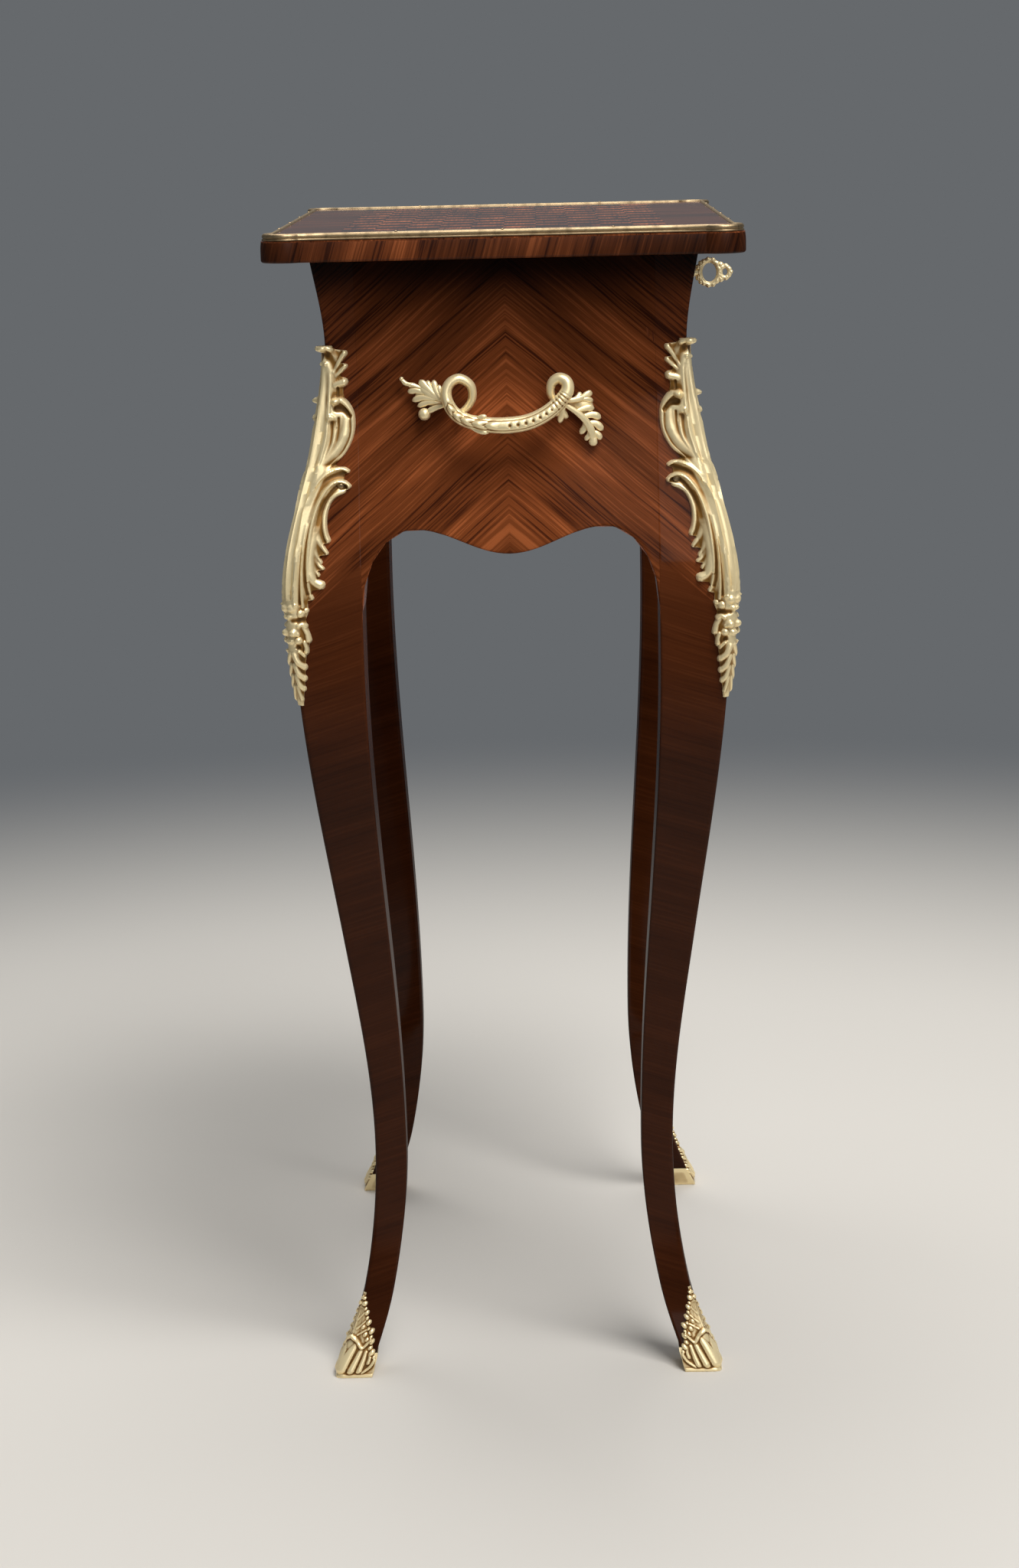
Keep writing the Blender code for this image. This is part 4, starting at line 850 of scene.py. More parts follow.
class WORKTABLE_OT_moulding(bpy.types.Operator):
    """The brass moulding round the lid: two beads and a groove, mitred, with its pins"""

    bl_idname = "worktable.moulding"
    bl_label = "Lid moulding"

    def execute(self, context):
        sizes = context.scene.work_table_sizes
        material = shared("hand_polished_brass", hand_polished_brass)
        low = LID_HIGH.z + FIT
        tall = TABLE_TOP - low
        # Section, as shares of the width and height: fillet, groove, big bead, then down to the field.
        section = smooth_path(
            [(0.05, 0), (0, 0.06), (0, 0.16), (0.04, 0.24), (0.16, 0.29), (0.20, 0.34), (0.12, 0.40), (0.05, 0.50),
             (0.05, 0.66), (0.16, 0.84), (0.36, 0.97), (0.58, 1.0), (0.80, 0.94), (0.95, 0.84), (1, 0.70), (1, 0)],
            45,
        )
        section = np.vstack([section, section[0]])
        for side in SIDES:
            def place(around, along, _):
                stop = section[np.rint(around * (len(section) - 1)).astype(int)].T
                x, y = lid_side(side, MOULDING_SETBACK + MOULDING_WIDTH * stop[0], 0.002 + 0.996 * along)
                return np.stack([x, y, low + tall * stop[1]], -1)

            form = bmesh.new()
            tube(form, len(section) - 1, 60, place)
            stops = (0.446, 0.5, 0.552) if side in ("left", "right") else (0.43, 0.477, 0.523, 0.57)
            for stop in stops:
                x, y = lid_side(side, np.array(MOULDING_SETBACK + 0.5 * MOULDING_WIDTH), np.array(stop))
                ball(form, (float(x), float(y), low + 0.98 * tall), (sizes.pin, sizes.pin, 0.0005), 12)
            face_out(form)
            finish(f"brass_moulding_{side}", form, material, "lid", [f"lid_moulding_{side}"], crease=40)
        return {"FINISHED"}


# Gilt-bronze mounts

def ridges(strokes, across, heights):
    """Greatest height of ridges along strokes, in mm: half widths, heights, softness of the sides, points."""
    top = np.zeros_like(across)
    for wide, narrow, start, end, soft, points in strokes:
        path = smooth_path(points, 5 * (len(points) - 1))
        steps = len(path) - 1
        for index, (low, high) in enumerate(zip(path, path[1:])):
            run = high - low
            t = np.clip(((across - low[0]) * run[0] + (heights - low[1]) * run[1]) / (run @ run), 0, 1)
            gap = (across - low[0] - t * run[0]) ** 2 + (heights - low[1] - t * run[1]) ** 2
            share = (index + t) / steps
            width = wide + (narrow - wide) * share
            lift = start + (end - start) * share
            top = np.maximum(top, lift * np.clip(1 - gap / width**2, 0, 1) ** soft)
    return top


def reach_of(body, strokes, buds, heights):
    """Edge of a mount's plain body, and that edge pushed out to a round lobe wherever a stroke or bud goes past it."""
    plain = np.interp(heights, [z for z, _ in body], [u for _, u in body])
    reach = plain + 0.6
    for wide, narrow, _, _, _, points in strokes:
        path = smooth_path(points, 8 * (len(points) - 1))
        for index, (u, z) in enumerate(path):
            width = wide + (narrow - wide) * index / (len(path) - 1)
            gap = np.maximum(width**2 - (heights - z) ** 2, 0)
            reach = np.where(gap > 0, np.maximum(reach, u + 0.9 * np.sqrt(gap)), reach)
    for u, z, radius, _, _ in buds:
        gap = np.maximum(radius**2 - (heights - z) ** 2, 0)
        reach = np.where(gap > 0, np.maximum(reach, u + 0.96 * np.sqrt(gap)), reach)
    return plain, reach


# Corner mount, in millimetres: reach of its plain body across the face, from the tip up
CHUTE_BODY = (
    (461.7, 1), (465.2, 2.2), (469.2, 2.9), (473.2, 3.9), (477.3, 4.3), (481.2, 5), (485.2, 5.6), (489.2, 6), (493.2, 6.8), (497.1, 8.1),
    (501.1, 9.4), (505, 10.2), (509, 9.9), (513, 8.7), (516.9, 7.9), (520.8, 9.6), (524.7, 9.7), (528.6, 9.8), (532.5, 11.3),
    (536.3, 13.1), (540.2, 14.3), (544, 15), (547.8, 14.7), (551.6, 14.7), (555.4, 14.9), (559.2, 15.3), (562.9, 15.8), (566.7, 16.1),
    (570.5, 15.8), (574.2, 15.5), (578, 14.7), (581.8, 13.8), (585.5, 13.6), (589.2, 14.3), (592, 15.5), (594.7, 18.2), (597.5, 20.4),
    (601.2, 21.8), (604, 19.6), (607.8, 19.1), (610.6, 16), (613.1, 12.1), (615.4, 13.3), (619.1, 16), (622.8, 17.9), (626.6, 19),
    (630.3, 19.6), (634.1, 19.8), (637.9, 19.5), (641.7, 19.1), (645.6, 17.7), (649.4, 15.5), (653.3, 12.3), (657.2, 11.1), (661, 10.9),
    (664.8, 10.3), (668.7, 8.8), (672.5, 8.2), (676.3, 9.2), (680.1, 9.3), (685, 5.5), (688.1, 0.4),
)
# Its forms: half widths, heights, softness of the sides (1.3 swells, 0.6 is a round rib) and the line each follows
CHUTE_RIDGES = (
    (2.6, 2.2, 3.0, 2.2, 0.6, ((-2.2, 685.3), (-0.2, 685.9), (3.1, 685.1))),
    (1.2, 2.1, 0.4, 2.4, 0.7, ((5.4, 670.7), (7.8, 675.4), (10.2, 679.6), (12.2, 682.2))),
    (1.1, 1.7, 0.4, 2.2, 0.7, ((6.8, 668.2), (9.7, 671), (12.6, 674.1))),
    (2.0, 2.8, 0.6, 2.8, 0.7, ((6.5, 662.5), (9.4, 663.4), (12, 664.1))),
    (2.2, 1.2, 3.0, 0.3, 0.8, (
        (7, 652.5), (10.9, 652.9), (15, 649.4), (18.1, 644.1), (19.5, 637.9), (19.7, 631.3), (18.5, 625.2), (16.3, 620), (13, 615.9),
        (9.1, 611.3), (5, 604.3))),
    (2.6, 4.0, 0.2, 1.5, 1.2, ((14.6, 646.5), (15.4, 641), (15.8, 635.4), (15.5, 631))),
    (4.0, 3.2, 1.5, 0.1, 1.2, ((15.5, 631), (14.5, 627), (11.9, 621.5), (8.1, 616), (3.8, 609))),
    (0.8, 1.3, 0.1, 0.9, 1.0, ((7.0, 642.5), (7.6, 638), (8.5, 632.5))),
    (1.3, 1.0, 0.9, 0.1, 1.0, ((8.5, 632.5), (8.2, 625.9), (6.1, 618.8))),
    (1.8, 1.7, 0.2, 1.5, 0.9, ((-3.1, 680), (-3.1, 668), (-3.1, 650))),
    (1.7, 1.5, 1.5, 1.0, 0.9, ((-3.1, 650), (-3.1, 620), (-3.1, 590), (-3.1, 560), (-2.6, 531))),
    (1.2, 1.4, 0.2, 1.2, 1.0, ((2.8, 668), (3.0, 655), (3.4, 645), (3.8, 637))),
    (1.4, 1.2, 1.2, 0.2, 1.0, ((3.8, 637), (3.7, 628), (2.6, 617.6), (1.0, 606.3))),
    (1.3, 1.0, 2.4, 0.3, 0.8, (
        (21.8, 608.6), (18, 610.4), (13.2, 610.2), (8.5, 607.8), (5, 604.1), (2.9, 599.5), (1.4, 594.1), (0, 586.7), (-0.8, 577.8),
        (-0.3, 567.5))),
    (1.4, 1.1, 2.8, 0.9, 0.8, (
        (25, 599.2), (21.7, 601.6), (17.9, 602.9), (14.3, 602), (11.3, 598.8), (9.2, 594), (7.8, 588.4), (7.1, 581.4), (7, 573.5),
        (7.7, 562.6), (8.7, 550.8), (9.8, 542.2))),
    (1.9, 1.7, 1.3, 2.2, 0.9, (
        (22, 596.7), (18.6, 595.2), (15.7, 592.2), (14.2, 587.8), (14, 581.7), (15.4, 574.7), (17.5, 569.5), (19.6, 566.2))),
    (3.0, 3.2, 0.3, 1.3, 1.3, ((9.9, 573.4), (9.8, 564), (10.6, 553.1), (12.6, 544))),
    (2.0, 1.1, 0.3, 1.8, 0.9, ((11.7, 569.6), (15.8, 563.4), (20.2, 558.4))),
    (1.8, 0.9, 0.3, 1.5, 0.9, ((11.2, 562.1), (14.2, 556.8), (17.4, 552.7))),
    (1.8, 1.0, 0.3, 1.6, 0.9, ((12.6, 556.4), (15.7, 551.6), (19.1, 548.9))),
    (1.8, 1.1, 0.3, 1.5, 0.9, ((11.6, 553.1), (13.9, 548.3), (16.6, 544.9))),
    (2.2, 2.9, 0.8, 2.5, 0.9, ((9.8, 549.8), (12.1, 544), (15.3, 540.1), (18.6, 538.6))),
    (1.6, 1.3, 0.5, 1.7, 0.9, ((9.6, 539.3), (11.2, 533.9), (13.2, 530.5))),
    (1.0, 1.3, 0.3, 1.3, 1.0, ((0.2, 586), (0.7, 568), (1.4, 548), (2.0, 527.2))),
    (1.0, 1.2, 0.3, 1.3, 1.0, ((3.4, 577), (4.0, 566), (5.4, 548), (7.2, 525.4))),
    (1.6, 2.3, 1.2, 2.3, 0.8, ((7.2, 512), (9.1, 508), (9.8, 504))),
    (1.5, 1.9, 1.4, 2.4, 0.8, ((7.1, 502.6), (8, 499.1), (7.8, 496.2))),
    (1.2, 1.3, 2.2, 2.4, 0.7, ((3, 497.2), (4.6, 495.7), (6.4, 493.7))),
    (1.6, 1.9, 1.6, 2.0, 0.8, ((3.9, 513.1), (6.4, 514.5), (8.2, 513))),
    (2.0, 2.4, 1.2, 2.4, 0.8, ((-1.2, 494.6), (1.6, 489.8), (5.6, 486.4))),
    (2.0, 2.3, 1.0, 2.2, 0.8, ((-1.4, 487.6), (1.2, 482.4), (4.8, 479.0))),
    (1.9, 2.1, 0.9, 1.9, 0.8, ((-1.2, 480.6), (0.9, 475.4), (3.6, 472.2))),
    (1.8, 1.8, 0.8, 1.6, 0.8, ((-1.0, 473.6), (0.4, 468.6), (1.6, 465.4))),
)
# Hollows under its rims and between its flutes
CHUTE_HOLLOWS = (
    (4.2, 2.4, 1.6, 0.4, 1.2, ((-0.4, 680.8), (3.4, 676.9), (6.3, 672.1))),
    (1.0, 0.9, 1.3, 0.5, 1.1, ((8, 660.6), (8.5, 655.3))),
    (2.6, 2.0, 2.2, 1.4, 1.1, ((8.4, 647.7), (12.8, 646.9), (17, 643.2))),
    (3.6, 1.6, 1.5, 0.1, 1.2, ((5.9, 638.7), (7.2, 632.5), (6.3, 625.4), (4.2, 618.4))),
    (1.0, 0.8, 1.2, 0.1, 1.1, ((9.9, 641.9), (10.8, 634.3), (10.4, 627.2))),
    (3.2, 2.2, 1.3, 0.4, 1.3, (
        (20.4, 606.6), (15.1, 606.4), (10, 603.8), (6.5, 598.7), (4.8, 592.2), (3.4, 584.8), (2.9, 574.5), (3.5, 564.1))),
    (2.3, 1.5, 1.9, 0.2, 1.2, ((21.8, 599.3), (18.2, 600.1), (15.2, 597.8), (13, 593.4), (11.3, 587.9), (10.5, 581.4), (10.5, 572.9))),
    (1.2, 1.5, 0.3, 1.5, 1.1, ((5.2, 577.3), (5.2, 566.9), (6.5, 553.2), (8.3, 540.3), (10.3, 533.5))),
    (1.8, 2.1, 0.3, 1.7, 1.1, ((0.4, 670), (0.4, 655), (0.4, 640))),
    (2.1, 1.5, 1.7, 1.4, 1.1, ((0.4, 640), (0.0, 622), (-0.9, 606), (-1.5, 590), (-1.6, 574), (-1.5, 556), (-1.2, 531))),
    (1.2, 1.1, 0.3, 1.2, 1.0, ((1.9, 588), (2.6, 568), (3.8, 550), (5.2, 527.2))),
    (1.9, 1.9, 1.6, 1.6, 1.0, ((2.2, 499.7), (2.9, 499.2))),
    (2.2, 2.2, 1.4, 1.0, 1.0, ((-0.3, 516.8), (7.9, 516.7))),
)
# Its buds and petals: place, radius, height and lobes
CHUTE_BUDS = (
    (-2.2, 685.3, 2.9, 2.6, 0), (-0.7, 675.8, 1.3, 1.4, 0), (7, 652.4, 3.1, 1.9, 0), (5.3, 642, 2.3, 1.9, 3), (-0.2, 524.5, 2.6, 2.1, 0),
    (5.9, 520.9, 2.5, 1.9, 0), (9.4, 522.8, 1.7, 1.6, 0), (2.8, 526.3, 1.6, 1.4, 0), (-1.7, 519.1, 1.8, 1.8, 0),
    (0.2, 508.7, 2.5, 3.0, 0), (3.5, 503.7, 2.4, 2.4, 0), (-2.1, 503.3, 1.8, 1.8, 0), (2.8, 507.7, 1.4, 1.2, 0),
)

# Shoe, in the same way, from the floor up
SABOT_BODY = (
    (0, 22.4), (4, 22.3), (8, 21.6), (12, 20.0), (15, 17.6), (18, 16.2), (21, 14.8), (25, 12.8), (29, 10.8), (33, 8.0), (38, 5.6),
    (43, 3.0), (48, 1.6), (53.5, 0.4),
)
SABOT_RIDGES = (
    (1.6, 3.9, 0.5, 3.0, 0.7, ((4.8, 21.5), (2.6, 14.0), (0.2, 6.2))),
    (1.5, 3.1, 0.5, 2.7, 0.7, ((9.4, 18.0), (8.4, 11.8), (7.0, 5.4))),
    (1.3, 2.4, 0.5, 2.2, 0.7, ((13.0, 15.4), (12.9, 10.2), (12.4, 5.0))),
    (1.3, 1.0, 1.8, 1.2, 0.7, ((20.4, 10.8), (18.8, 6.6), (15.0, 3.4))),
    (1.0, 1.4, 0.6, 1.5, 0.7, ((15.4, 15.0), (16.9, 12.4), (17.0, 9.4))),
    (1.2, 1.2, 0.4, 0.4, 0.8, ((0, 1.2), (10, 1.2), (21.6, 1.4))),
    (1.2, 1.1, 2.0, 1.6, 0.7, ((0, 26.0), (4.4, 22.8), (8.8, 18.6), (10.8, 19.6), (13.2, 23.4))),
    (0.8, 0.6, 0.5, 0.4, 0.9, ((3.4, 26.4), (6.4, 28.4), (9.8, 30.4))),
    (0.8, 0.6, 0.5, 0.4, 0.9, ((2.0, 30.4), (4.4, 33.4), (6.6, 36.0))),
    (0.7, 0.5, 0.4, 0.3, 0.9, ((1.0, 35.6), (2.6, 38.8), (3.8, 41.0))),
    (1.0, 0.7, 0.7, 0.6, 0.9, ((0, 27), (0, 40), (0, 52.0))),
)
SABOT_HOLLOWS = (
    (2.2, 1.4, 0.5, 0.4, 1.2, ((5.6, 22.8), (3.4, 28), (2.4, 34), (1.2, 42))),
)
# Its beads: place, radius, height and petals
SABOT_BEADS = (
    (1.4, 49.4, 1.1, 1.0, 0), (2.4, 46.0, 1.6, 1.5, 0), (3.6, 42.6, 1.1, 1.0, 0), (5.2, 40.2, 1.7, 1.6, 0), (6.4, 36.8, 1.2, 1.1, 0),
    (8.4, 34.0, 1.9, 1.7, 0), (9.6, 30.2, 1.2, 1.1, 0), (12.2, 28.6, 2.0, 1.9, 0), (13.0, 25.0, 1.2, 1.2, 0), (14.6, 22.2, 1.9, 1.8, 0),
    (14.8, 18.2, 1.3, 1.3, 0), (17.2, 15.6, 2.0, 1.9, 0), (8.4, 26.6, 1.5, 1.1, 0), (10.8, 23.4, 1.3, 1.0, 0), (5.4, 31.2, 1.3, 0.7, 0),
    (0, 50.4, 1.2, 0.9, 0), (19.4, 12.6, 1.4, 1.2, 0),
)


def bosses(buds, face, level):
    """Greatest height of round buds and petalled flowers, in millimetres."""
    top = np.zeros_like(face)
    for u, z, radius, height, petals in buds:
        turn = np.arctan2(level - z, face - u)
        wide = radius * (1 + 0.16 * np.cos(petals * turn + 0.6) * (petals > 0))
        gap = ((face - u) ** 2 + (level - z) ** 2) / wide**2
        pit = 0.35 * (petals > 0) * np.exp(-gap / 0.06)
        top = np.maximum(top, height * (np.sqrt(np.clip(1 - gap, 0, 1)) - pit))
    return top


def corner_sheets(low, high, rows, columns, reach, relief, arris, swell=0.0):
    """Mounts wrapped round the four leg corners; reach and relief are in mm, swell stretches them round the corner."""
    shape = []
    quarter = arris * math.pi / 4
    for corner in CORNERS:
        def place(across, up, back):
            # The four are castings from one pattern, so the relief is worked out once.
            if not shape:
                heights = low + (high - low) * up
                side = 2 * across - 1
                width = np.stack(reach(heights * 1000)) / 1000 - arris
                plain, full = np.maximum(quarter + width / np.where(width < 0, 1 + swell, 1), arris * 0.35)
                # Four fifths of the columns lie in the body, so that the lobes do not pull its relief about.
                share = np.abs(side)
                along = plain * np.minimum(share / 0.8, 1) + (full - plain) * np.maximum(share - 0.8, 0) / 0.2
                along = along * np.sign(side)
                past = np.abs(along) - quarter
                face = arris + past * np.where(past < 0, 1 + swell, 1)
                lift = relief(face * 1000, heights * 1000)
                lift = 0.4 + (lift - 0.4) * np.sqrt(np.clip(1 - np.abs(side) ** 12, 0, 1))
                shape.extend([heights, along, FIT + np.where(back > 0.5, 0.0, lift / 1000)])
            return round_corner(corner, *shape, arris)

        form = bmesh.new()
        slab(form, columns, rows, place)
        yield corner, form


class WORKTABLE_OT_corner_mounts(bpy.types.Operator):
    """Four gilt-bronze corner mounts: leafy head, scroll, long fluted leaf, buds and a pendant"""

    bl_idname = "worktable.corner_mounts"
    bl_label = "Corner mounts"

    def execute(self, context):
        sizes = context.scene.work_table_sizes
        material = shared("fire_gilt_bronze", gilt_bronze)
        low, high = (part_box("chute_front_left")[end].z for end in (0, 1))
        shift = low * 1000 - 461

        def reach(heights):
            return reach_of(CHUTE_BODY, CHUTE_RIDGES, CHUTE_BUDS, heights - shift)

        def relief(face, heights):
            level = heights - shift
            crown = np.interp(level, (461, 475, 500, 535, 560, 605, 640, 662, 687), (1.6, 2.8, 4.0, 5.4, 6.0, 5.8, 4.8, 3.4, 2.6))
            edge = np.interp(level, (461, 500, 687), (0.9, 1.5, 1.5))
            plain = np.interp(level, *np.array(CHUTE_BODY).T)
            lift = edge + (crown - edge) * (1 - np.clip(face / plain, 0, 1) ** 1.7)
            lift += ridges(CHUTE_RIDGES, face, level) - ridges(CHUTE_HOLLOWS, face, level)
            return sizes.relief * np.maximum(lift + bosses(CHUTE_BUDS, face, level), 0.6)

        for corner, form in corner_sheets(low, high, 370, 78, reach, relief, sizes.arris, 1.6):
            face_out(form)
            # Marks taken over a wide neighbourhood, so broad hollows go brown too, partly toning and partly painted
            # shade.
            mark_crests_and_hollow_shade(form, 50, 0.00085)
            finish("bronze_corner_mount_" + corner, form, material, "case", ["chute_" + corner], crease=60)
        return {"FINISHED"}


class WORKTABLE_OT_shoes(bpy.types.Operator):
    """Four gilt-bronze shoes: a cup under the foot, a fluted toe, a collar and a pointed leaf"""

    bl_idname = "worktable.shoes"
    bl_label = "Bronze shoes"

    def execute(self, context):
        sizes = context.scene.work_table_sizes
        material = shared("fire_gilt_bronze", gilt_bronze)

        def reach(heights):
            return reach_of(SABOT_BODY, SABOT_RIDGES, SABOT_BEADS, heights)

        def relief(face, heights):
            body = np.interp(heights, (0, 4, 9, 15, 20, 30, 53), (1.3, 1.3, 1.2, 1.1, 1.0, 0.9, 0.6))
            lift = body + ridges(SABOT_RIDGES, face, heights) - ridges(SABOT_HOLLOWS, face, heights)
            return sizes.relief * np.maximum(lift + bosses(SABOT_BEADS, face, heights), 0.5)

        stops = np.array([(1, 0), (1, 1), (0, 1), (0, 0), (1, 0)], float)
        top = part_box("sabot_front_left")[1].z
        for corner, form in corner_sheets(0.0002, top, 130, 72, reach, relief, sizes.arris):
            def cup(around, along, _):
                # Up the outside from the sole, over the rim and down inside it.
                run = around * 4
                index = np.minimum(run.astype(int), 3)
                t = (run - index)[:, None]
                share = stops[index] * (1 - t) + stops[index + 1] * t
                heights = np.interp(along, (0, 0.15, 0.5, 0.62, 0.75, 1), (0.0, 0.0, 0.0125, 0.0150, 0.0125, 0.0034))
                wall = np.interp(along, (0, 0.15, 0.5, 0.62, 0.75, 1), (0.0010, 0.0022, 0.0016, 0.0009, FIT, FIT))
                # The leaf covers the outer faces, so the cup is thin under it.
                out, back = outer(heights) - 0.3 * wall, inner(heights) + wall
                from_end = share[:, 0] * out + (1 - share[:, 0]) * back
                from_side = share[:, 1] * out + (1 - share[:, 1]) * back
                return on_corner(corner, from_end, from_side, heights)

            tube(form, 64, 26, cup)
            face_out(form)
            mark_crests_and_hollow_shade(form, 5, 0.00025)
            finish("bronze_shoe_" + corner, form, material, "case", ["sabot_" + corner], crease=60)
        return {"FINISHED"}


# Handles, laid out in millimetres: u along the end from its middle, z up, h off the panel's face

def on_end(sign, u, z, h):
    """Points on an end of the case, standing h off its face."""
    u, z, h = (np.asarray(value, float) / 1000 for value in (u, z, h))
    return np.stack([sign * (HALF_LENGTH - outer(z) + h), -sign * u, z], -1)


def band(form, sign, points, widths, sides=24, steps=90, chase=None):
    """A round-backed bar along a path of (u, z, h); widths are (share, half height, half depth)."""
    path = smooth_path(points, steps)
    ahead = np.gradient(path, axis=0)
    ahead[:, 2] = 0
    ahead /= np.linalg.norm(ahead, axis=1)[:, None]
    shares, tall, deep = np.array(widths).T

    def place(around, along, _):
        index = np.rint(along * steps).astype(int)
        turn = 2 * math.pi * around
        radius = np.interp(along, shares, tall)
        depth = np.interp(along, shares, deep)
        if chase is not None:
            lift = 1 + chase(along, turn)
            radius, depth = radius * lift, depth * lift
        point, way = path[index], ahead[index]
        side = radius * np.cos(turn)
        u = point[:, 0] - way[:, 1] * side
        z = point[:, 1] + way[:, 0] * side
        return on_end(sign, u, z, point[:, 2] + depth * np.sin(turn))

    tube(form, sides, steps, place)


def finger(form, sign, points, width, start, end):
    """One rounded lobe of a leaf along a path of (u, z), falling from start to end off the panel."""
    count = len(points) - 1
    path = [(u, z, start + (end - start) * index / count) for index, (u, z) in enumerate(points)]
    shape = ((0, 0.5 * width, 0.9), (0.35, 0.8 * width, 1.3), (0.72, width, 1.5), (0.90, 0.78 * width, 1.2), (1, 0.22 * width, 0.3))

    def vein(along, turn):
        return -0.16 * np.exp(-(((turn - math.pi / 2) / 0.30) ** 2)) * np.sin(math.pi * along)

    band(form, sign, path, shape, sides=16, steps=18, chase=vein)


class WORKTABLE_OT_handles(bpy.types.Operator):
    """A cast handle on each end: a chased bar that curls over at its ends, with a spray of leaves at each foot"""

    bl_idname = "worktable.handles"
    bl_label = "Carrying handles"

    def execute(self, context):
        material = shared("fire_gilt_bronze", gilt_bronze)
        drop = CASE_TOP * 1000 - 740.3

        def chase(along, turn):
            # Wrapped leaves on one half of the bar; on the other, punched dots between two edge lines, then rings.
            front = np.exp(-(((turn - math.pi / 2) / 1.1) ** 2))
            leafy = ease(0.32, 0.35, along) * (1 - ease(0.49, 0.52, along))
            off = np.abs(turn - math.pi / 2)
            wrap = np.abs(np.sin(92 * along - 1.7 * off)) * (0.6 + 0.4 * np.cos(3 * off))
            dotted = ease(0.52, 0.535, along) * (1 - ease(0.645, 0.66, along))
            dots = np.exp(-(((turn - math.pi / 2) / 0.24) ** 2)) * np.clip(np.sin(330 * along), 0, 1)
            lines = np.exp(-(((off - 0.75) / 0.14) ** 2))
            edged = ease(0.30, 0.40, along) * (1 - ease(0.66, 0.76, along))
            ringed = ease(0.655, 0.67, along) * (1 - ease(0.71, 0.73, along))
            rings = 0.10 * np.sin(460 * along)
            return front * (leafy * (0.34 * wrap - 0.16) + ringed * rings) - dotted * 0.24 * dots - edged * 0.11 * lines

        for name, sign in (("left", -1), ("right", 1)):
            form = bmesh.new()
            path = [
                (30.6, 643.0, 9.6), (25.0, 647.4, 10.2), (21.6, 653.6, 11.2), (22.6, 661.4, 12.5), (29.4, 665.8, 13.5), (35.8, 662.6, 14.5),
                (37.8, 655.4, 15.5), (34.4, 646.8, 17.0), (27.2, 641.0, 18.5), (15.5, 637.8, 19.5), (1.4, 636.8, 20.0),
                (-12.7, 638.4, 19.5), (-24.5, 643.4, 18.5), (-33.6, 650.6, 16.5), (-38.2, 657.4, 15.0), (-37.4, 662.6, 14.0),
                (-32.8, 664.6, 13.0), (-28.6, 661.6, 12.5), (-27.6, 656.0, 12.0), (-29.6, 651.0, 11.0),
            ]
            path = [(u, z + drop, h) for u, z, h in path]
            widths = (
                (0, 2.2, 3.0), (0.15, 2.8, 4.2), (0.32, 3.5, 4.8), (0.41, 4.2, 5.0), (0.53, 5.1, 5.0), (0.64, 4.8, 4.9),
                (0.77, 4.0, 4.6), (0.90, 3.0, 3.8), (1, 2.2, 2.8),
            )
            band(form, sign, path, widths, sides=36, steps=420, chase=chase)
            # The lobes of both sprays: path, half width, and how far they start and end off the panel
            for points, width, start, end in (
                (((38, 651.5), (46, 655), (55, 660.5)), 2.8, 9, 6.2),
                (((54, 660), (60.5, 662), (63.6, 662.9), (66.4, 665.8)), 1.5, 6.2, 5.2),
                (((42, 653.5), (44.8, 659), (45.8, 664.6)), 2.2, 9, 6),
                (((40, 652.5), (42.0, 657.5), (42.4, 661.6)), 1.7, 9, 7),
                (((46, 656), (51, 660.4), (54.6, 664.6)), 2.6, 8, 5.5),
                (((45, 655.5), (48.6, 660.5), (49.8, 664.4)), 1.9, 8, 5.4),
                (((54, 660), (59, 661.8), (62.2, 661.2)), 1.6, 6, 5),
                (((49, 656.0), (57, 658.2), (62.4, 657.4)), 2.1, 7, 4.5),
                (((45, 652.5), (53, 653.8), (59.6, 651.8)), 2.2, 8, 4.5),
                (((43, 650.5), (50, 650.6), (56.4, 648.2)), 2.0, 8, 5),
                (((48, 656), (53, 656.2), (57.6, 654.6)), 1.8, 6.6, 4.4),
                (((36, 650), (45, 647.4), (51, 644.4)), 1.9, 11, 7),
                (((21, 640.2), (17, 642.0), (12.6, 643.0)), 1.7, 20.5, 21.5),
                (((24, 637.0), (18, 633.8), (11.6, 632.6)), 1.6, 20.5, 21.5),
                (((-35, 650), (-43, 650.8), (-50, 652.4)), 2.0, 13, 7),
                (((-41, 650.4), (-45, 652.6), (-46.6, 655.2)), 1.7, 10, 7),
                (((-46, 651.4), (-50.6, 653.8), (-54.0, 654.2)), 2.2, 8.5, 5.5),
                (((-46, 651.0), (-51, 650.6), (-54.2, 648.8)), 1.8, 8.5, 5),
                (((-36, 648.5), (-44, 643), (-49.5, 637.5), (-53, 630.5), (-53.6, 624)), 2.5, 13, 5.4),
                (((-43, 643.5), (-50, 645.4), (-55.0, 644.6)), 2.2, 10, 6),
                (((-47, 640), (-54, 641.0), (-59.0, 638.4)), 2.4, 8.6, 5.4),
                (((-50, 636), (-56, 635.2), (-60.2, 631.0)), 2.4, 7.6, 5),
                (((-52, 630.5), (-56.4, 629.0), (-59.0, 625.2)), 2.1, 6.6, 4.6),
                (((-52.6, 630), (-54.0, 625.4), (-53.2, 621.4)), 2.8, 6.4, 4.8),
                (((-49.0, 638), (-48.6, 633.4), (-45.8, 629.0)), 2.1, 8.4, 5.4),
                (((-52.0, 632.5), (-51.0, 628), (-48.8, 625.0)), 1.7, 6.8, 4.8),
                (((-36, 648), (-34.6, 643), (-33.0, 636.4)), 2.2, 13, 8),
                (((-35.4, 646.5), (-32.6, 643.6), (-30.4, 640.8)), 1.7, 12, 8.4),
                (((-35.6, 645), (-36.8, 641.6), (-37.2, 638.8)), 1.7, 11.6, 8),
            ):
                finger(form, sign, [(u, z + drop) for u, z in points], width, start, end)
            ball(form, on_end(sign, 52.1, 643.4 + drop, 6.0), (0.0039, 0.0039, 0.0039), 20)
            ball(form, on_end(sign, 66.0, 665.6 + drop, 5.2), (0.0014, 0.0014, 0.0014), 10)
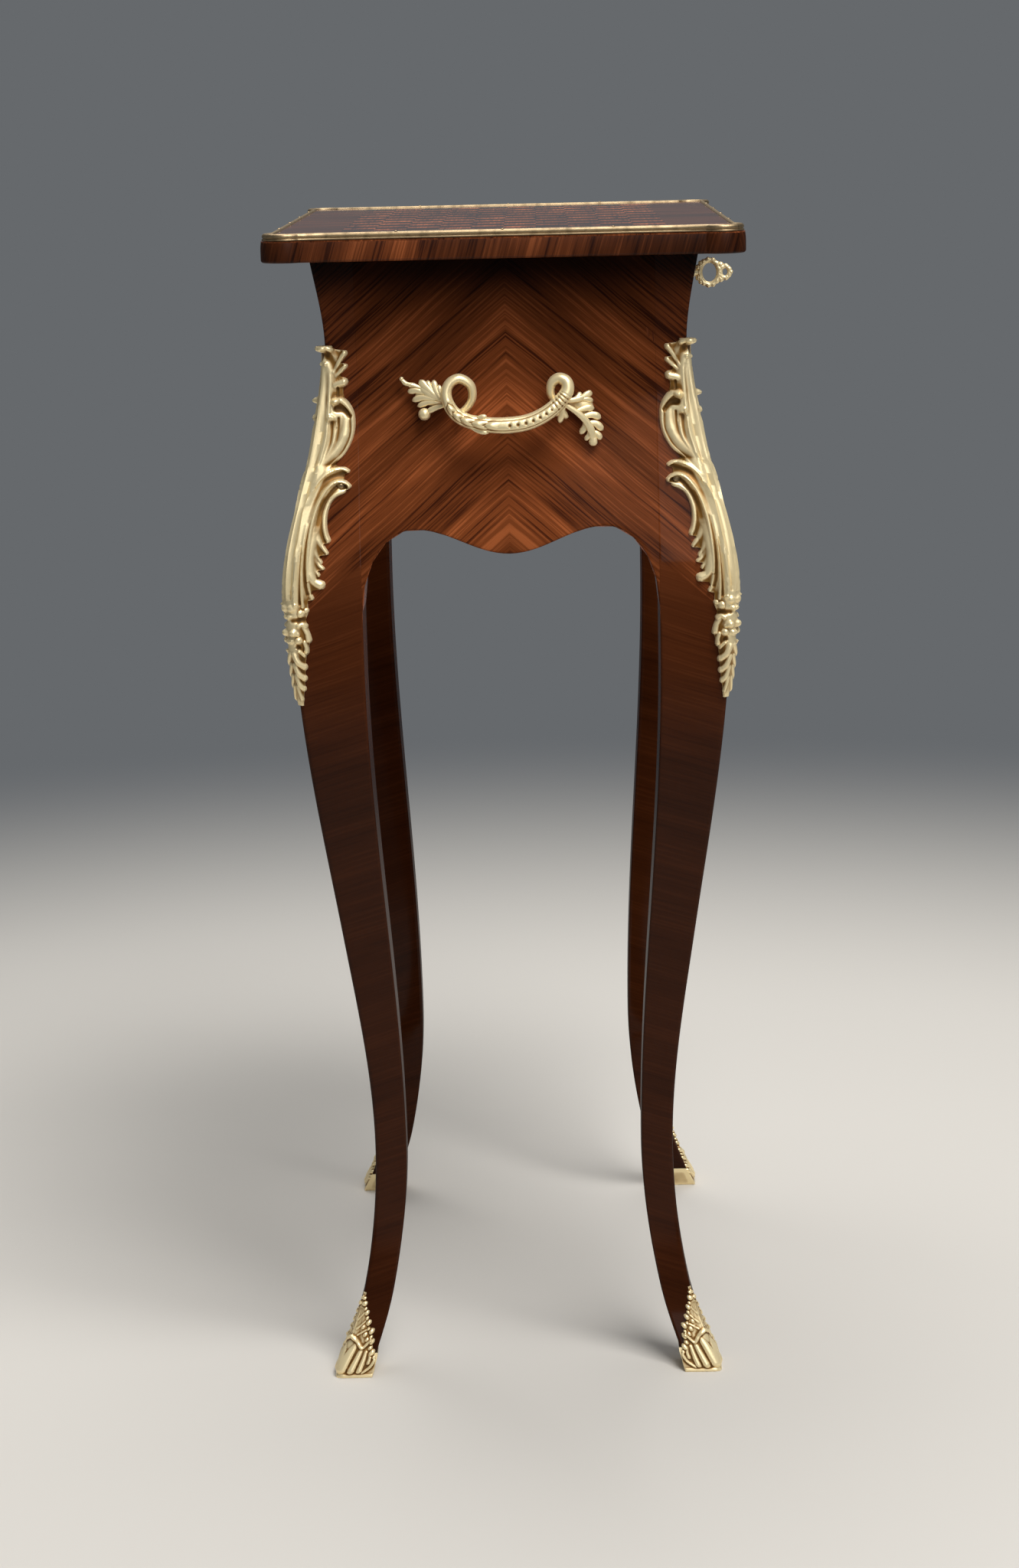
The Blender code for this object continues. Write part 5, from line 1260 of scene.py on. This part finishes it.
            # Pads by which the feet sit on the panel
            ball(form, on_end(sign, 46.5, 654.0 + drop, 4.0), (0.0039, 0.0080, 0.0060))
            ball(form, on_end(sign, -46.5, 646.5 + drop, 4.0), (0.0039, 0.0080, 0.0060))
            face_out(form)
            mark_crests_and_hollow_shade(form, 4, 0.00025)
            finish("bronze_handle_" + name, form, material, "case", ["handle_" + name], crease=60)
        return {"FINISHED"}


# Lock, key and small fittings

class WORKTABLE_OT_key(bpy.types.Operator):
    """The brass key with its double ribbed bow and leafy crest, and the gilt keyhole plate"""

    bl_idname = "worktable.key"
    bl_label = "Key and keyhole plate"

    def execute(self, context):
        low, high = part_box("key")
        axis = CASE_TOP - 0.0233
        face = -(HALF_DEPTH - float(outer(axis)))
        collar = face - 0.0118
        middle = collar - 0.0095
        form = bmesh.new()

        def ring(centre, tall, long, wire, ribs, depth, sides=16, steps=72):
            def place(around, along, _):
                turn, swing = 2 * math.pi * around, 2 * math.pi * along
                radius = wire * (1 + depth * np.cos(ribs * swing) * np.clip(np.cos(turn) + 0.4, 0, 1))
                reach = radius * np.cos(turn)
                return np.stack([
                    radius * np.sin(turn),
                    centre[0] + (long + reach) * np.cos(swing),
                    centre[1] + (tall + reach) * np.sin(swing),
                ], -1)
            tube(form, sides, steps, place, closed=True)

        ring((middle, axis), 0.0085, 0.0068, 0.0017, 13, 0.20, 20, 160)
        ring((middle, axis), 0.0070, 0.0054, 0.0007, 1, 0.0)
        # The leafy crest at the far side of the bow, and the leaves at its root
        ring((middle - 0.0106, axis), 0.0040, 0.0032, 0.0016, 7, 0.14, 16, 70)
        for run, rise, radius in (
            (-0.0078, 0.0048, 0.0021), (-0.0078, -0.0048, 0.0021), (-0.0122, 0.0034, 0.0016), (-0.0122, -0.0034, 0.0016),
            (-0.0148, 0.0, 0.0014), (0.0076, 0.0036, 0.0020), (0.0076, -0.0036, 0.0020), (0.0060, 0.0064, 0.0016), (0.0060, -0.0064, 0.0016),
        ):
            ball(form, (0, middle + run, axis + rise), (0.0018, radius, radius), 12)
        turned = (
            (0.0, 0.0), (0.0, 0.0021), (0.60, 0.0021), (0.62, 0.0030), (0.66, 0.0032), (0.69, 0.0024), (0.74, 0.0024),
            (0.77, 0.0036), (0.82, 0.0042), (0.88, 0.0033), (0.93, 0.0026), (1.0, 0.0018), (1.0, 0.0),
        )
        shares, radii = np.array(turned).T
        start, end = high.y, collar - 0.0016

        def shank(around, along, _):
            index = np.rint(along * (len(turned) - 1)).astype(int)
            turn = 2 * math.pi * around
            ribs = 1 + 0.10 * np.cos(8 * turn) * (shares[index] > 0.75) * (shares[index] < 0.9)
            radius = radii[index] * ribs
            return np.stack([radius * np.sin(turn), start + (end - start) * shares[index], axis + radius * np.cos(turn)], -1)

        tube(form, 40, len(turned) - 1, shank, closed=True)
        tip = Matrix.Translation((0, high.y - 0.0031, axis - 0.0040)) @ Matrix.Diagonal((0.0016, 0.0050, 0.0050, 1))
        bit = bmesh.ops.create_cube(form, size=1, matrix=tip)["verts"]
        edges = list({edge for vert in bit for edge in vert.link_edges})
        bmesh.ops.bevel(form, geom=edges, offset=0.0003, segments=2, profile=0.5, affect="EDGES", material=-1)
        face_out(form)
        mark_crests_and_hollow_shade(form, 3, 0.00020)
        finish("brass_key", form, shared("fire_gilt_bronze", gilt_bronze), "key", ["key"], crease=50)

        plate = bmesh.new()
        plate_middle = axis - 0.0022

        def rim(across, up, back):
            turn = 2 * math.pi * across
            share = 0.20 + 0.80 * up
            wave = 1 + 0.09 * np.cos(6 * turn) * up
            x = 0.0118 * wave * share * np.sin(turn)
            z = plate_middle + 0.0158 * wave * share * np.cos(turn)
            bead = 0.7 * np.exp(-(((up - 0.86) / 0.07) ** 2)) + 0.45 * np.exp(-((up / 0.10) ** 2))
            petals = 0.30 * np.cos(6 * turn) * np.sin(math.pi * up)
            lift = np.where(back > 0.5, FIT, 0.0008 + 0.0007 * (bead + petals))
            return np.stack([x, -(HALF_DEPTH - outer(z)) - lift, z], -1)

        slab(plate, 120, 24, rim)
        bmesh.ops.remove_doubles(plate, verts=plate.verts, dist=1e-6)
        walls = [f for f in plate.faces if all(abs(v.co.x) < 1e-6 for v in f.verts)]
        bmesh.ops.delete(plate, geom=walls, context="FACES_ONLY")
        face_out(plate)
        mark_crests_and_hollow_shade(plate, 3, 0.00015)
        finish("gilt_keyhole_plate", plate, shared("fire_gilt_bronze", gilt_bronze), "case", ["escutcheon"], crease=60)
        return {"FINISHED"}


class WORKTABLE_OT_fittings(bpy.types.Operator):
    """Finishes of the hinges, lock, screws, nuts and the oak bottom"""

    bl_idname = "worktable.fittings"
    bl_label = "Fittings and carcase"

    def execute(self, context):
        brass = shared("hand_polished_brass", hand_polished_brass)
        steel = shared("filed_steel", dull_steel)
        oak = shared("planed_oak", plain_oak)
        refinish(oak, "bottom_board", "bottom_batten_front", "bottom_batten_back")
        refinish(steel, "lock_case", "hinge_left_pin", "hinge_right_pin")
        refinish(brass, "lock_bolt", "lock_hook", "hook_screw_left", "hook_screw_right", "lock_screw_left", "lock_screw_right")
        for side in ("left", "right"):
            refinish(brass, f"handle_{side}_nut_front", f"handle_{side}_nut_back")
            refinish(brass, f"hinge_{side}_case_leaf", f"hinge_{side}_lid_leaf")
            for part in ("case", "lid"):
                refinish(brass, f"hinge_{side}_{part}_screw_left", f"hinge_{side}_{part}_screw_right")
        for corner in CORNERS:
            refinish(brass, "chute_screw_" + corner)
        return {"FINISHED"}


class WORKTABLE_OT_stage(bpy.types.Operator):
    """The floor, the soft lights and the camera"""

    bl_idname = "worktable.stage"
    bl_label = "Stage"

    def execute(self, context):
        look = context.scene.work_table_stage
        scene = context.scene
        scene.view_settings.view_transform = "Standard"

        form = bmesh.new()
        bmesh.ops.create_grid(form, x_segments=1, y_segments=1, size=8)
        mesh = bpy.data.meshes.new("floor")
        form.to_mesh(mesh)
        form.free()
        material, shader, tree = new_finish("pale_floor")
        shader.inputs["Base Color"].default_value = (*look.floor, 1)
        shader.inputs["Roughness"].default_value = 0.9
        # The floor runs out into the backdrop's tone a little way from the table.
        place = node(tree, "ShaderNodeTexCoord")
        distance = node(tree, "ShaderNodeVectorMath", {0: place.outputs["Object"]}, operation="LENGTH")
        far = node(
            tree, "ShaderNodeMapRange", {0: distance.outputs["Value"], 1: 0.7, 2: 2.0}, interpolation_type="SMOOTHSTEP"
        )
        tone = node(tree, "ShaderNodeEmission", {"Color": (*look.backdrop, 1)})
        both = node(tree, "ShaderNodeMixShader", {0: far.outputs[0], 1: shader.outputs[0], 2: tone.outputs[0]})
        tree.links.new(both.outputs[0], tree.nodes["Material Output"].inputs["Surface"])
        mesh.materials.append(material)
        floor = bpy.data.objects.new("floor", mesh)
        scene.collection.objects.link(floor)

        world = bpy.data.worlds.new("studio")
        world.use_nodes = True
        background = world.node_tree.nodes["Background"]
        background.inputs["Color"].default_value = (*look.backdrop, 1)
        background.inputs["Strength"].default_value = 1.0
        scene.world = world

        for name, place, size, power in (
            ("key_light", (-1.35, -0.9, 3.3), 1.5, look.key),
            ("fill_light", (-2.9, -1.0, 1.9), 2.0, look.fill),
            ("top_light", (0.8, 0.2, 2.8), 1.8, look.top),
        ):
            lamp = bpy.data.lights.new(name, "AREA")
            lamp.shape = "SQUARE"
            lamp.size = size
            lamp.energy = power
            light = bpy.data.objects.new(name, lamp)
            aim = Vector((0, 0, 0.45)) - Vector(place)
            light.matrix_world = Matrix.Translation(place) @ aim.to_track_quat("-Z", "Y").to_matrix().to_4x4()
            scene.collection.objects.link(light)

        # The camera stands off the left end, a little above the lid, looking down by 12 degrees.
        pitch, yaw, roll = (math.radians(a) for a in (12.24, 0.732, -1.323))
        ahead = Vector((math.cos(pitch) * math.cos(yaw), math.cos(pitch) * math.sin(yaw), -math.sin(pitch)))
        right = Vector((math.sin(yaw), -math.cos(yaw), 0))
        up = right.cross(ahead)
        side = right * math.cos(roll) + up * math.sin(roll)
        rise = up * math.cos(roll) - right * math.sin(roll)
        lens = bpy.data.cameras.new("camera")
        lens.sensor_fit = "VERTICAL"
        lens.sensor_height = 36
        lens.lens = 73.83
        camera = bpy.data.objects.new("camera", lens)
        turn = Matrix((side, rise, -ahead)).transposed().to_4x4()
        camera.matrix_world = Matrix.Translation((-2.2218, -0.0221, 0.8442)) @ turn
        scene.collection.objects.link(camera)
        scene.camera = camera
        return {"FINISHED"}


STEPS = (
    WORKTABLE_OT_legs,
    WORKTABLE_OT_case_veneer,
    WORKTABLE_OT_lid,
    WORKTABLE_OT_moulding,
    WORKTABLE_OT_corner_mounts,
    WORKTABLE_OT_shoes,
    WORKTABLE_OT_handles,
    WORKTABLE_OT_key,
    WORKTABLE_OT_fittings,
    WORKTABLE_OT_stage,
)


class WORKTABLE_PT_panel(bpy.types.Panel):
    """Lists the table's pieces and its settings"""

    bl_idname = "WORKTABLE_PT_panel"
    bl_label = "Work Table"
    bl_space_type = "VIEW_3D"
    bl_region_type = "UI"
    bl_category = "Work Table"

    def draw(self, context):
        for step in STEPS:
            self.layout.operator(step.bl_idname, text=step.bl_label)
        for group in (context.scene.work_table_sizes, context.scene.work_table_finishes, context.scene.work_table_stage):
            box = self.layout.box()
            for key in group.bl_rna.properties.keys():
                if key not in ("rna_type", "name"):
                    box.prop(group, key)


GROUPS = {
    "work_table_sizes": WorkTableSizes,
    "work_table_finishes": WorkTableFinishes,
    "work_table_stage": WorkTableStage,
}


def register():
    for made in (*GROUPS.values(), *STEPS, WORKTABLE_PT_panel):
        bpy.utils.register_class(made)
    for name, group in GROUPS.items():
        setattr(bpy.types.Scene, name, PointerProperty(type=group))


def unregister():
    for name in GROUPS:
        delattr(bpy.types.Scene, name)
    for made in (WORKTABLE_PT_panel, *reversed(STEPS), *reversed(GROUPS.values())):
        bpy.utils.unregister_class(made)


def main():
    register()
    bpy.ops.worktable.legs()
    bpy.ops.worktable.case_veneer()
    bpy.ops.worktable.lid()
    bpy.ops.worktable.moulding()
    bpy.ops.worktable.corner_mounts()
    bpy.ops.worktable.shoes()
    bpy.ops.worktable.handles()
    bpy.ops.worktable.key()
    bpy.ops.worktable.fittings()
    bpy.ops.worktable.stage()


if __name__ == "__main__":
    main()
